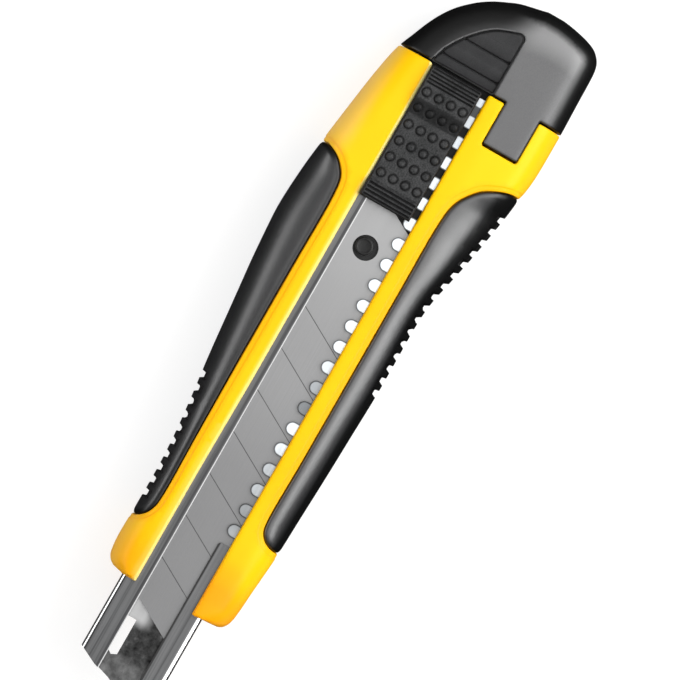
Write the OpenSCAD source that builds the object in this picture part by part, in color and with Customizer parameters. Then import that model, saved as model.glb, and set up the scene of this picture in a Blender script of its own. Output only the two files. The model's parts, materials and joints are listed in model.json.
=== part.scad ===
// Snap-off utility knife with an 18 mm blade, lying on its back.
// +X runs towards the blade's tip, +Y towards the cutting edge, +Z is the slider side.
// The working datum is the rail's centre line; place() moves it so that the
// origin falls at the middle of the whole knife's footprint, on the surface it lies on.

/* [Handle] */
// Height of the handle's front land above the back face
land_z = 19.2; // [18.6:0.1:20]
// Height of the joint between front and rear shells
split_z = 10; // [9:0.5:11]
// Front end of the plastic handle, from the datum
nose_x = 59.3; // [57:0.1:61]
// Thickness of the rubber grips
grip_t = 1.6; // [1.2:0.1:1.8]
// Exponent of the rounded side profile (2 is a plain ellipse)
side_n = 2.4; // [2:0.1:3]

/* [Rail] */
// Outside width of the steel rail
rail_w = 19.4; // [19.2:0.1:19.5]
// Steel sheet thickness of the rail
rail_t = 0.6; // [0.5:0.05:0.6]
// Height of the rail's underside
rail_z = 13.8; // [13.7:0.05:13.8]
// Outside height of the rail
rail_h = 3.4; // [3.4:0.05:3.45]
// Pitch of the lock teeth
tooth_pitch = 4.95; // [4.8:0.05:5]
// Number of lock teeth
tooth_count = 20; // [16:1:20]

/* [Blade] */
// Width of the blade
blade_w = 18; // [17:0.5:18]
// Thickness of the blade
blade_t = 0.5; // [0.4:0.05:0.5]
// Distance between score lines
score_pitch = 10.1; // [9.8:0.1:10.4]
// Number of score lines
score_count = 7; // [5:1:7]
// Radius of the hole in the blade's tang
tang_hole_r = 2.75; // [2.5:0.05:3]

/* [Slider] */
// Length of the thumb button
button_l = 31.2; // [30:0.1:31.2]
// Width of the thumb button
button_w = 11.9; // [11.5:0.1:12]
// Height of the thumb button's highest ridge
button_top = 21.5; // [21:0.1:22]

/* [End cap] */
// Height of the end cap's front face
cap_z = 19.4; // [19.2:0.1:20]
// Thickness of the end cap's wall
cap_wall = 2; // [1.6:0.1:2.4]

/* [Hidden] */

E = 0.01;
datum = [1, -2.4, 0];
rail_y = 0.05;                       // rail centre line, across
rail_top = rail_z + rail_h;
rail_back = -65;
lip_left = -4.2;                     // inner edges of the two lips
lip_right = 4.75;
tooth_x0 = 39.5;                     // front tooth
tooth_r = 1.47;
tooth_y = 6.3;                       // centre of a tooth's round end
slant = 0.56;                        // run of the snap angle across the blade
blade_z = 15.75;
button_back = -66.2;
peg = [-25.9, 0.4];

// right and left side outlines of handle and cap, front view, [x, y]
RIGHT = [[-88,13.2],[-87.8,14.8],[-87.1,18.3],[-86.6,20],[-85.9,21.6],[-84.9,22.8],[-83.6,23.7],
         [-82,24.15],[-80,24.3],[-75,24.4],[-66,24.6],[-60,24.6],[-55,24.4],[-50,23.7],[-46,23.2],
         [-40,22.2],[-34,21.1],[-28,19.8],[-23,18.7],[-18,18.2],[-8,18.2],[0,18.2],[10,17.9],
         [20,17.6],[30,17.2],[40,16.8],[50,16],[54,15.7],[56.6,15.3],[57.9,14.7],[58.7,13.9],
         [59.1,13],[59.3,12]];
LEFT  = [[-88,9.6],[-87.7,8.4],[-87.2,6.1],[-86.6,3.6],[-85.5,0.9],[-84.3,-1.6],[-82.7,-4.1],
         [-81.1,-6],[-79.2,-7.9],[-76.6,-9.8],[-73.4,-11.5],[-70,-12.9],[-66,-14.5],[-60,-15.8],
         [-50,-17.3],[-41,-18.5],[-35,-19.2],[-28,-19.7],[-24,-19.8],[-20,-19.6],[-12,-19],
         [-5,-18.3],[0,-17.8],[10,-16.8],[20,-15.6],[28,-14.8],[36,-14.4],[46,-14.4],[55,-14.3],
         [57,-13.8],[57.9,-13.1],[58.5,-12.1],[58.9,-10.6],[59.3,-9]];
// how far the back face lifts off the table along the handle, [x, z]
BACK  = [[-88,0],[30,0],[42,0.3],[50,1],[56,1.8],[59.3,2.6]];

// grip outlines on the front face, from the front end to the rear end
GRIP_R = [[39.4,19],[39.4,16.6],[38.9,14.4],[38.1,13],[36.8,11.9],[35,11.4],[-37,11.4],[-41,11.7],
          [-43.6,12.5],[-46.1,14.1],[-48.2,16.1],[-49.5,18.5],[-50.4,21],[-50.7,25]];
GRIP_L = [[46.9,-15.5],[46.6,-13.9],[46.1,-12.9],[45.2,-11.8],[43.8,-11],[42,-10.55],[-33,-10.55],
          [-36,-11.1],[-38.2,-12.5],[-39.6,-14.1],[-40.5,-15.8],[-41,-17.4],[-41.3,-20.5]];
// ribbed pad in the cap
PAD = [[-67.1,8],[-80,8],[-80.6,7.6],[-80.8,7],[-80.4,5.6],[-79.7,3.7],[-78.9,1.9],[-77.5,0],
       [-76,-1.5],[-74.3,-3],[-72,-4.6],[-70,-5.7],[-67.1,-6.9]];

// ---- curves ------------------------------------------------------------
function seg(T, x, i = 0) = (i >= len(T) - 2 || x < T[i+1][0]) ? i : seg(T, x, i + 1);
function chord(T, i) = (T[i+1][1] - T[i][1]) / (T[i+1][0] - T[i][0]);
function tangent(T, i) = i == 0 ? chord(T, 0) : i == len(T) - 1 ? chord(T, i - 1)
                       : (chord(T, i - 1) + chord(T, i)) / 2;
function curve(T, x) = let(i = seg(T, x), h = T[i+1][0] - T[i][0],
                           u = min(1, max(0, (x - T[i][0]) / h)))
    T[i][1] * (1 + 2*u) * pow(1 - u, 2) + tangent(T, i) * h * u * pow(1 - u, 2)
  + T[i+1][1] * u*u * (3 - 2*u) + tangent(T, i + 1) * h * u*u * (u - 1);

// quarter of a superellipse, from [1,0] on its side to [0,1] on its top
function quarter(t) = [pow(cos(t), 2/side_n), pow(sin(t), 2/side_n)];
QT = [0, 14, 30, 46, 62, 78, 90];

// one cross-section of the closed body: side walls yl and yr, faces zb and zt
function section(x, yl, yr, zb, zt) =
    let(a = min(6.5, (yr - yl) / 2 - 0.4), b = min(7.5, (zt - zb) / 2 - 0.4))
    concat(
      [for (i = [0:6]) let(q = quarter(90 - QT[i])) [x, yr - a + a*q[0], zt - b + b*q[1]]],
      [for (i = [0:6]) let(q = quarter(QT[i]))      [x, yr - a + a*q[0], zb + b - b*q[1]]],
      [for (i = [0:6]) let(q = quarter(90 - QT[i])) [x, yl + a - a*q[0], zb + b - b*q[1]]],
      [for (i = [0:6]) let(q = quarter(QT[i]))      [x, yl + a - a*q[0], zt - b + b*q[1]]]);

module loft(R) {
    n = len(R); m = len(R[0]);
    polyhedron(points = [for (r = R) each r], convexity = 4, faces = concat(
        [[for (j = [m-1:-1:0]) j]],
        [[for (j = [0:m-1]) (n-1)*m + j]],
        [for (i = [0:n-2]) for (j = [0:m-1]) let(k = (j+1) % m)
            [i*m + k, (i+1)*m + k, (i+1)*m + j, i*m + j]]));
}

// handle envelope, made smaller by d all round
HX = [-67,-60,-55,-50,-45,-40,-35,-30,-25,-20,-14,-8,0,8,16,24,32,40,46,50,53,56,57.6,58.5,59,nose_x];
module envelope(d = 0)
    loft([for (x = HX) let(e = x > nose_x - 0.1 ? 0.7 : x > 58.8 ? 0.2 : 0)
        section(x == nose_x ? x - d : x - d * max(0, x - 40) / 20, curve(LEFT, x) + d + e,
                curve(RIGHT, x) - d - e, lookup(x, BACK) + d + e, land_z - d - e)]);

// cap envelope, made smaller by d; its rear end is rolled
CX = [-88,-87.8,-87.4,-86.8,-86,-85,-84,-82.6,-81,-79,-76.5,-73.5,-70,-66.9];
function roll(x, d) = let(u = min(1, max(0, (-83.4 - x) / 4.6))) 3.6 * (1 - sqrt(1 - u*u));
module cap_envelope(d = 0)
    loft([for (x = CX) let(e = roll(x, d), xx = x + d * min(1, max(0, (-70 - x) / 6)))
        section(xx, min(curve(LEFT, x) + d, 11), max(curve(RIGHT, x) - d, 11.6),
                max(0.1, 0.1 + e) + d, cap_z - e - d)]);

module place() translate(datum) children();
module slab(P, z0, z1) translate([0, 0, z0]) linear_extrude(height = z1 - z0) polygon(P);
module block(x0, x1, y0, y1, z0, z1) translate([x0, y0, z0]) cube([x1 - x0, y1 - y0, z1 - z0]);
module bar(P, x0, x1) translate([x0, 0, 0]) rotate([90, 0, 90]) linear_extrude(height = x1 - x0) polygon(P);
function arc(cx, cy, r, a0, a1, n = 5) = [for (i = [0:n]) let(a = a0 + (a1 - a0)*i/n) [cx + r*cos(a), cy + r*sin(a)]];
function widen(P, d, s) = [for (p = P) [p[0], p[1] - s*d]];

// regions that the grips take, d wider for their seats
module grip_region_r(z0, z1, d = 0)
    slab(concat([for (p = GRIP_R) [p[0] + (p[0] > 0 ? d : -d), p[1] - (p[1] < 12 ? d : d/2)]], [[-51,30],[40,30]]), z0, z1);
module grip_region_l(z0, z1, d = 0)
    slab(concat([for (p = GRIP_L) [p[0] + (p[0] > 0 ? d : -d), p[1] + (p[1] > -11.5 ? d : d/2)]], [[-42,-30],[47,-30]]), z0, z1);

rivet_at = [[54.3, -6.6], [54.3, -1.2]];
screw_at = [[51.5, 12.3], [51.5, -11.7], [-60.5, 21.2], [-50, -13.4]];

// ---- handle ------------------------------------------------------------
SLOT = [[-70,-6.15],[10,-6.15],[33,-6.4],[62,-6.4],[62,7.25],[-70,7.25]];

module shell_solid(z0, z1) {
    intersection() {
        difference() {
            envelope();
            difference() {
                union() { grip_region_r(-1, 22, 0.12); grip_region_l(-1, 22, 0.12); }
                envelope(grip_t + 0.1);
            }
        }
        block(-66.4, 62, -30, 30, z0, z1);
    }
}

module front_shell() color("gold") place() difference() {
    shell_solid(split_z, 25);
    slab(SLOT, 15, 25);                                           // slider slot
    block(-70, 62, rail_y - rail_w/2 - 0.1, rail_y + rail_w/2 + 0.1, rail_z - 0.1, rail_top + 0.1);
    block(-70, 57.8, -10.1, 10.2, 5, rail_z);                       // room for the tray
    block(-70, -56.9, -11.8, 17.3, 5, 13.5);                      // room for the cap's plug
    block(-70, -56.5, 10.95, 19.45, 17.3, 25);                    // seat of the cap's tongue
    for (b = [[-44, -22], [-18, 4], [8, 30]]) block(b[0], b[1], 11.8, 14.4, 5, 16);
    for (b = [[-34, -12], [-8, 8]]) block(b[0], b[1], -14.4, -11.8, 5, 16);
    for (s = screw_at) translate([s[0], s[1], 5]) cylinder(r = 1.25, h = 10.5, $fn = 40);
}

module rear_shell() color("gold") place() difference() {
    shell_solid(-1, split_z);
    block(-70, 57.8, -10.1, 10.2, 8.9, 12);                         // tray bed
    block(-70, -56.9, -11.8, 17.3, 2.1, 12);                      // cap plug
    for (b = [[-54, -29], [-26, -1], [2, 27], [30, 53]]) block(b[0], b[1], -8, 8, 2.4, 12);
    for (b = [[-44, -22], [-18, 4], [8, 30]]) block(b[0], b[1], 11.8, 14.4, 3.4, 12);
    for (b = [[-34, -12], [-8, 8]]) block(b[0], b[1], -14.4, -11.8, 3.4, 12);
    for (s = screw_at) translate([s[0], s[1], -1]) { cylinder(r = 1.4, h = 14, $fn = 40); cylinder(r = 2.15, h = 7.1, $fn = 48); }
}

// notches between the ribs on the side of a grip
rib_pitch_r = 2.98; rib_pitch_l = 3.05;
module notch(x, y, s, z0, z1) slab([[x-0.95,y+s*1.6],[x-0.45,y],[x+0.45,y],[x+0.95,y+s*1.6]], z0, z1);
module rib_notches_r() for (k = [0:14]) let(x = -42 + rib_pitch_r*k) notch(x, curve(RIGHT, x) - 0.8, 1, 2.4, 16.6);
module rib_notches_l() for (k = [0:9]) let(x = 14.2 + rib_pitch_l*k) notch(x, curve(LEFT, x) + 0.8, -1, 2.4, 16.6);

module grip_solid(z0, z1, right) difference() {
    intersection() {
        envelope();
        if (right) grip_region_r(z0, z1); else grip_region_l(z0, z1);
    }
    envelope(grip_t);
    if (right) rib_notches_r(); else rib_notches_l();
}
module front_right_grip() color([0.12,0.12,0.12]) place() grip_solid(split_z + 0.05, 22, true);
module front_left_grip()  color([0.12,0.12,0.12]) place() grip_solid(split_z + 0.05, 22, false);
module rear_right_grip()  color([0.12,0.12,0.12]) place() grip_solid(0.2, split_z - 0.05, true);
module rear_left_grip()   color([0.12,0.12,0.12]) place() grip_solid(0.2, split_z - 0.05, false);

// ---- rail --------------------------------------------------------------
// C-shaped sheet profile, [y, z], with bent corners
yl = rail_y - rail_w/2; yr = rail_y + rail_w/2; ro = 1; ri = ro - rail_t;
function c_profile(left_in, right_in) = concat(
    [[left_in, rail_top]], arc(yl + ro, rail_top - ro, ro, 90, 180), arc(yl + ro, rail_z + ro, ro, 180, 270),
    arc(yr - ro, rail_z + ro, ro, 270, 360), arc(yr - ro, rail_top - ro, ro, 0, 90), [[right_in, rail_top], [right_in, rail_top - rail_t]],
    arc(yr - ro, rail_top - ro, ri, 90, 0), arc(yr - ro, rail_z + ro, ri, 360, 270),
    arc(yl + ro, rail_z + ro, ri, 270, 180), arc(yl + ro, rail_top - ro, ri, 180, 90), [[left_in, rail_top - rail_t]]);
NOSE = [[75.4,-11],[78.2,-5.4],[79.4,-1.5],[82.2,4],[84.8,7.6],[85.8,8.7],[86,9.4],[86,11],[95,11],[95,-11]];

module rail() color([0.45,0.46,0.48]) place() {
    difference() {
        bar(c_profile(lip_left, 7.8), rail_back, 86);
        slab(NOSE, 10, 20);
        // window in the floor behind the nose
        slab([[66,-4.6],[74,-4.6],[74.9,-3.4],[74.3,-2.2],[66,-2.2]], 10, rail_z + 1);
        for (p = rivet_at) translate([p[0], p[1], 10]) cylinder(r = 1.5, h = 6, $fn = 40);
    }
    // right lip: a plain land at each end and the lock teeth between them
    translate([0, 0, rail_top - rail_t]) linear_extrude(height = rail_t) {
        translate([rail_back, lip_right]) square([-58.05 - rail_back, 3.1]);
        polygon([[42.98,lip_right+0.4],[43.4,lip_right],[82.5,lip_right],[84.8,7.6],[84.9,7.85],[42.98,7.85]]);
        for (k = [0:tooth_count-1]) translate([tooth_x0 - k*tooth_pitch, tooth_y]) {
            circle(r = tooth_r, $fn = 40);
            translate([-tooth_r, 0]) square([2*tooth_r, 1.55]);
        }
    }
}

module rail_rivets() color([0.6,0.6,0.62]) place() for (p = rivet_at) translate([p[0], p[1], 0]) {
    translate([0, 0, 10]) cylinder(r = 1.5, h = rail_z + rail_t - 10 - 0.05, $fn = 40);
    translate([0, 0, 9.2]) cylinder(r = 2.4, h = 0.81, $fn = 40);
}

// ---- tray under the rail ----------------------------------------------
module blade_tray() color([0.16,0.16,0.17]) place() difference() {
    union() {
        difference() {
            block(-56, 57.6, -9.9, 10, 9.1, rail_z - 0.1);
            block(-60, 56.6, -9.15, 9.25, 10.1, 20);
        }
        for (p = rivet_at) translate([p[0], p[1], 9.2]) cylinder(r = 2.5, h = rail_z - 9.3, $fn = 48);
        // edge ribs that keep the spare blades down
        for (x = [-40, -5, 30]) { block(x, x + 8, -9.2, -7.8, 13, rail_z - 0.1); block(x, x + 8, 7.9, 9.3, 13, rail_z - 0.1); }
    }
    for (p = rivet_at) translate([p[0], p[1], 5]) { cylinder(r = 1.5, h = 12, $fn = 40); cylinder(r = 2.42, h = 5.05, $fn = 40); }
    for (b = [[-50,-30],[-26,-6],[-2,18],[22,44]]) block(b[0], b[1], -5.5, 5.5, 5, 12);
}

// spring leaf that presses the spare blades up against the ribs
function bow(x0, x1, z0, rise, t, n = 16) = concat(
    [for (i = [0:n]) [x0 + (x1-x0)*i/n, z0 + rise*sin(180*i/n)]],
    [for (i = [n:-1:0]) [x0 + (x1-x0)*i/n, z0 - t + rise*sin(180*i/n)]]);
module xz(P, y0, y1) translate([0, y1, 0]) rotate([90, 0, 0]) linear_extrude(height = y1 - y0) polygon(P);
module tray_spring() color([0.6,0.62,0.65]) place() xz(bow(-4, 44, 10.45, 1.15, 0.3), -7.6, -6);

function snap_blade(x0, x1) = [[x0,-blade_w/2],[x1 - slant*blade_w,-blade_w/2],[x1,blade_w/2],[x0 + slant*blade_w,blade_w/2]];
EDGE_N = 1.4; // width of the ground edge
module blade_blank(x0, x1, z) {
    intersection() {
        bar([[-blade_w/2, z],[blade_w/2 - EDGE_N, z],[blade_w/2, z + blade_t/2 - 0.03],[blade_w/2, z + blade_t/2 + 0.03],
             [blade_w/2 - EDGE_N, z + blade_t],[-blade_w/2, z + blade_t]], x0 - 5, x1 + 5);
        slab(snap_blade(x0, x1), z - 1, z + 1.5);
    }
}
module score_lines(x1, z) for (k = [1:score_count]) let(x = x1 - k*score_pitch)
    slab([[x - slant*(blade_w + 1) - 0.14,-10],[x - slant*(blade_w + 1) + 0.14,-10],[x + 0.14 + slant,10],[x - 0.14 + slant,10]], z, z + 1);

module spare_blades() color([0.62,0.64,0.67]) place() for (k = [0:1]) difference() {
    blade_blank(-54.6, 55.9, 11.8 + 0.55*k);
    translate([-38.8, 0.7, 11]) cylinder(r = tang_hole_r, h = 3, $fn = 48);
    score_lines(55.9 + 0.3, 11.8 + 0.55*k + blade_t - 0.12);
}

module shell_screws() color([0.35,0.35,0.37]) place() for (s = screw_at) translate([s[0], s[1], 0]) difference() {
    union() {
        translate([0, 0, 4.7]) cylinder(r = 1.9, h = 1.4, $fn = 48);
        translate([0, 0, 6]) cylinder(r = 1.25, h = 9, $fn = 40);
    }
    for (a = [0, 90]) rotate([0, 0, a]) translate([-1.2, -0.25, 3.7]) cube([2.4, 0.5, 1.8]);
}

// ---- moving slider -----------------------------------------------------
module blade_carrier() color([0.1,0.1,0.1]) place() difference() {
    union() {
        block(-65, -14, -8.9, 9, 14.5, 15.65);                    // plate under the blade
        slab([[-65,-8.9],[-42.6,-8.9],[-33.2,8.9],[-65,8.9]], 15.6, 16.5);
        block(-64, -43, -3.9, 4.45, 16.4, 17.5);                  // neck through the rail's slot
        block(-64, -37.6, -4.7, 4.6, 17.4, 18);                   // deck inside the button
        block(-52.2, -50.2, -1.4, 1.4, 17.9, 19.2);               // post for the return spring
    }
    block(-48.1, -46.1, -3, 6, 16.45, 17.35);                     // pawl's guide
    translate([peg[0], peg[1], 14]) cylinder(r = 2, h = 3, $fn = 48);
    for (x = [-60, -54.5]) block(x, x + 4, -3, 3, 14, 16);        // moulding pockets
}
module blade_peg() color([0.13,0.13,0.13]) place() translate([peg[0], peg[1], 14.5]) {
    cylinder(r = 2, h = 2.2, $fn = 48);
    translate([0, 0, 2.19]) cylinder(r1 = 2, r2 = 1.6, h = 0.35, $fn = 48);
}
module blade() color([0.66,0.68,0.7]) place() difference() {
    blade_blank(-41.6, 68.9, blade_z);
    translate([-25.8, 0.7, 14]) cylinder(r = tang_hole_r, h = 4, $fn = 64);
    score_lines(68.9 + 0.3, blade_z + blade_t - 0.12);
}
// leaf that pushes the pawl out towards the teeth
module lock_spring() color([0.7,0.7,0.72]) place() slab(concat(
    [for (i = [0:12]) [-46 + 7*i/12, 2.1 + 1.1*sin(180*i/12)]], [for (i = [12:-1:0]) [-46 + 7*i/12, 1.85 + 1.1*sin(180*i/12)]]), 18.1, 19.1);

function coil(x0, len, R, turns, r, n = 10, s = 6) = [for (i = [0:turns*n]) let(a = 360*i/n, x = x0 + len*i/(turns*n))
    [for (j = [0:s-1]) let(b = 360*j/s) [x + r*cos(b), (R + r*sin(b))*cos(a), 18.95 + (R + r*sin(b))*sin(a)]]];
module button_spring() color([0.72,0.72,0.75]) place() translate([0, 3, 0]) loft(coil(-63.4, 9, 0.5, 6, 0.16));

module lock_pawl() color([0.5,0.5,0.52]) place() {
    slab([[-47.9,-1.4],[-46.3,-1.4],[-46.3,4.2],[-46.7,4.6],[-47.5,4.6],[-47.9,4.2]], 16.65, 17.2);
}

// thumb button: a hollow shell with a saddle, ribs at both ends and grip studs
TOP = [[-66.2,20.3],[-65,21],[-63,21.4],[-61,21.2],[-59,20.7],[-56.8,20.5],[-54.5,20.7],[-51,20.9],[-44,20.9],[-40,21],
       [-37.5,21.4],[-35.8,21.3],[-35,20.4]];
module thumb_button() color([0.15,0.15,0.15]) place() {
    y0 = -6; y1 = y0 + button_w; x1 = button_back + button_l;
    difference() {
        xz(concat([for (x = [button_back : 1.3 : x1]) [x, curve(TOP, x) - (button_top > 21.4 ? 0.3 : 0.6)]],
                  [[x1, curve(TOP, x1) - 0.3], [x1, 17.35], [button_back, 17.35]]), y0, y1);
        block(button_back + 0.9, x1 - 0.9, y0 + 0.9, y1 - 0.9, 17, 19.6);
        // soft edges along both sides
        for (s = [[y0, 1], [y1, -1]]) bar([[s[0] - s[1], 22], [s[0] - s[1], 19.4], [s[0], 19.6], [s[0] + s[1]*0.3, 20.2], [s[0] + s[1]*1.1, 22]], -70, -30);
    }
    // studs
    for (x = [-60.4, -52.7, -48.8, -44.9, -41.1]) for (y = [-4.3, -1.45, 1.4, 4.2])
        translate([x, y, 20]) cylinder(r = 0.75, h = (x == -60.4 ? 1.05 : 0.85), $fn = 24);
    // cross ribs
    for (x = [-65.6, -64.5, -63.4, -62.3]) block(x, x + 0.5, y0 + 0.8, y1 - 0.8, 19.5, 21.4);
    for (x = [-38.9, -37.8, -36.7, -35.8]) block(x, x + 0.5, y0 + 0.8, y1 - 0.8, 19.5, 21.4);
    block(-66, -35.3, -0.1, 0.1, 19.5, 20);
}

// ---- end cap -----------------------------------------------------------
module end_cap() color([0.2,0.2,0.21]) place() difference() {
    union() {
        difference() {
            cap_envelope();
            intersection() { cap_envelope(cap_wall); block(-90, -66.8, -30, 30, 0, 15.6); }
        }
        difference() {
            block(-68.8, -57.5, -11.6, 17.1, 2.4, 13.2);          // plug
            block(-72, -50, -10.1, 15.6, 4, 11.7);
        }
        intersection() { envelope(); block(-67.2, -57, 11.1, 19.3, 17.4, 22); }
        block(-68.8, -66, 12.5, 18, 17.4, land_z - 0.4);
    }
    block(-66.9, -50, -30, 10.9, 13.3, 30);
    block(-70, -66.0, -30, -11.9, -1, 30);
    block(-66.9, -66.0, 17.35, 30, -1, 17.3);
    slab(concat([for (p = PAD) [p[0] - (p[0] < -79 ? 0.15 : 0), p[1] + (p[1] > 7 ? 0.15 : -0.15)]], [[-60,-7],[-60,8.2]]), 17, 30);
}
// sawtooth pad: three shallow steps rising to the rear
module cap_pad() color([0.12,0.12,0.12]) place() intersection() {
    slab(PAD, 17, 25);
    xz([[-67.1,17],[-67.1,18.2],[-69.1,18.7],[-69.3,18.1],[-71.7,18.5],[-74,19.2],[-74.2,18.5],[-77,18.9],[-81,19.8],[-81,17]], -10, 10);
}

front_shell();
rear_shell();
front_right_grip();
front_left_grip();
rear_right_grip();
rear_left_grip();
rail();
rail_rivets();
blade_tray();
tray_spring();
spare_blades();
shell_screws();
blade_carrier();
blade_peg();
blade();
lock_spring();
button_spring();
lock_pawl();
thumb_button();
end_cap();
cap_pad();
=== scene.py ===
# Snap-off utility knife: the looks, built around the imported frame.
import json
import math

import bpy
import numpy as np
from mathutils import Matrix, Vector, geometry


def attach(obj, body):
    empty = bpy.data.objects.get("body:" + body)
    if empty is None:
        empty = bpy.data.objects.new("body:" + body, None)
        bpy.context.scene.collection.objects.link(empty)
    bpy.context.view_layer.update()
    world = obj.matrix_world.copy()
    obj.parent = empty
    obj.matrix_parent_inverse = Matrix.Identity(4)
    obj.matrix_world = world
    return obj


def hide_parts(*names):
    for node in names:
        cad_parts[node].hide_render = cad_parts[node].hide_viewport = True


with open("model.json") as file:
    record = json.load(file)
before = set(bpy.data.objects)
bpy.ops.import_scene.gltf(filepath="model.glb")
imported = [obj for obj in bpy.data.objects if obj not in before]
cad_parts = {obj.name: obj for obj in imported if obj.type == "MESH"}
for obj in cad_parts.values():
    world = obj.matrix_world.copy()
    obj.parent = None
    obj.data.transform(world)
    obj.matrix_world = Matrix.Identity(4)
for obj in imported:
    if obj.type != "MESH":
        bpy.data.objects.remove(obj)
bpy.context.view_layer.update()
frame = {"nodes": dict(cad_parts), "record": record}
rng = np.random.default_rng(18)

# ---------------------------------------------------------------- camera
# Everything below is written in millimetres about the rail's centre line, as in
# the design; at() puts it in the frame.
OX, OY = 1.0, -2.4


def at(x, y, z):
    return ((x + OX) * 1e-3, (y + OY) * 1e-3, z * 1e-3)


R = Vector((-0.49697, 0.86777, 0.0))
U = Vector((-0.86777, -0.49697, 0.0))
cam_data = bpy.data.cameras.new("camera")
cam_data.type = "PERSP"
cam_data.lens = 400
cam_data.sensor_width = 36
cam = bpy.data.objects.new("camera", cam_data)
bpy.context.scene.collection.objects.link(cam)
cam.matrix_world = Matrix((
    (R.x, U.x, 0, at(-6.34, 0, 0)[0]),
    (R.y, U.y, 0, at(0, 5.67, 0)[1]),
    (0, 0, 1, 0.0155 + 1.5873),
    (0, 0, 0, 1)))
cam_data.clip_start, cam_data.clip_end = 0.01, 20
bpy.context.scene.camera = cam
bpy.context.scene.view_settings.view_transform = "Standard"
bpy.context.scene.view_settings.look = "None"

# ---------------------------------------------------------------- outlines
LAND, SPLIT, NOSE = 19.2, 10.0, 59.3
SA, SB, SN = 6.5, 7.5, 2.4
RIGHT = [(-88, 13.2), (-87.8, 14.8), (-87.1, 18.3), (-86.6, 20), (-85.9, 21.6), (-84.9, 22.8), (-83.6, 23.7),
         (-82, 24.15), (-80, 24.3), (-75, 24.4), (-66, 24.6), (-60, 24.6), (-55, 24.4), (-50, 23.7), (-46, 23.2),
         (-40, 22.2), (-34, 21.1), (-28, 19.8), (-23, 18.7), (-18, 18.2), (-8, 18.2), (0, 18.2), (10, 17.9),
         (20, 17.6), (30, 17.2), (40, 16.8), (50, 16), (54, 15.7), (56.6, 15.3), (57.9, 14.7), (58.7, 13.9),
         (59.1, 13), (59.3, 12)]
LEFT = [(-88, 9.6), (-87.7, 8.4), (-87.2, 6.1), (-86.6, 3.6), (-85.5, 0.9), (-84.3, -1.6), (-82.7, -4.1),
        (-81.1, -6), (-79.2, -7.9), (-76.6, -9.8), (-73.4, -11.5), (-70, -12.9), (-66, -14.5), (-60, -15.8),
        (-50, -17.3), (-41, -18.5), (-35, -19.2), (-28, -19.7), (-24, -19.8), (-20, -19.6), (-12, -19),
        (-5, -18.3), (0, -17.8), (10, -16.8), (20, -15.6), (28, -14.8), (36, -14.4), (46, -14.4), (55, -14.3),
        (57, -13.8), (57.9, -13.1), (58.5, -12.1), (58.9, -10.6), (59.3, -9)]
BACK = [(-88, 0), (30, 0), (42, 0.3), (50, 1), (56, 1.8), (59.3, 2.6)]
GRIP_R = [(39.4, 16.6), (38.9, 14.4), (38.1, 13), (36.8, 11.9), (35, 11.4), (20, 11.4), (0, 11.4), (-20, 11.4),
          (-36, 11.4), (-41, 11.75), (-43.6, 12.5), (-46.1, 14.1), (-48.2, 16.1), (-49.5, 18.5), (-50.4, 21), (-50.7, 22.6)]
GRIP_L = [(46.9, -13.9), (46.1, -12.7), (45.2, -11.8), (43.8, -11), (42, -10.55), (25, -10.55), (5, -10.55),
          (-15, -10.55), (-32, -10.55), (-36, -11.1), (-38.2, -12.5), (-39.6, -14.1), (-40.5, -15.8), (-41.1, -17.4)]
PAD = [(-67.05, 8), (-80, 8), (-80.6, 7.6), (-80.8, 7), (-80.4, 5.6), (-79.7, 3.7), (-78.9, 1.9), (-77.5, 0),
       (-76, -1.5), (-74.3, -3), (-72, -4.6), (-70, -5.7), (-67.05, -6.9)]


def curve(T, x):
    """Smooth curve through the control points, the same one the design uses."""
    X = np.array([p[0] for p in T], float)
    Y = np.array([p[1] for p in T], float)
    c = np.diff(Y) / np.diff(X)
    m = np.concatenate([[c[0]], (c[:-1] + c[1:]) / 2, [c[-1]]])
    x = np.asarray(x, float)
    i = np.clip(np.searchsorted(X, x, side="right") - 1, 0, len(X) - 2)
    h = X[i + 1] - X[i]
    u = np.clip((x - X[i]) / h, 0, 1)
    y = (Y[i] * (1 + 2 * u) * (1 - u) ** 2 + m[i] * h * u * (1 - u) ** 2
         + Y[i + 1] * u * u * (3 - 2 * u) + m[i + 1] * h * u * u * (u - 1))
    return np.clip(y, Y.min(), Y.max())


def back_z(x):
    return np.interp(x, [p[0] for p in BACK], [p[1] for p in BACK])


# the rounded side: a superellipse quarter, by arc length from the land's edge
_th = np.radians(np.linspace(0, 90, 1441))
_qy = np.sin(_th) ** (2 / SN)
_qz = 1 - np.cos(_th) ** (2 / SN)
_arc = np.concatenate([[0], np.cumsum(np.hypot(np.diff(_qy * SA), np.diff(_qz * SB)))])
LQ = _arc[-1]
TOT = LQ + (LAND - SB - SPLIT)


def w_of(x, y):
    """Unrolled coordinate of a front-view point: y on the flat land, arc length on the sides."""
    x, y = np.asarray(x, float), np.asarray(y, float)
    er, el = curve(RIGHT, x) - SA, curve(LEFT, x) + SA
    tr = np.interp(np.clip((y - er) / SA, 0, 1), _qy, _arc)
    tl = np.interp(np.clip((el - y) / SA, 0, 1), _qy, _arc)
    return np.where(y > er, er + tr, np.where(y < el, el - tl, y))


def w_edge(x, right):
    return curve(RIGHT, x) - SA + TOT if right else curve(LEFT, x) + SA - TOT


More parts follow.
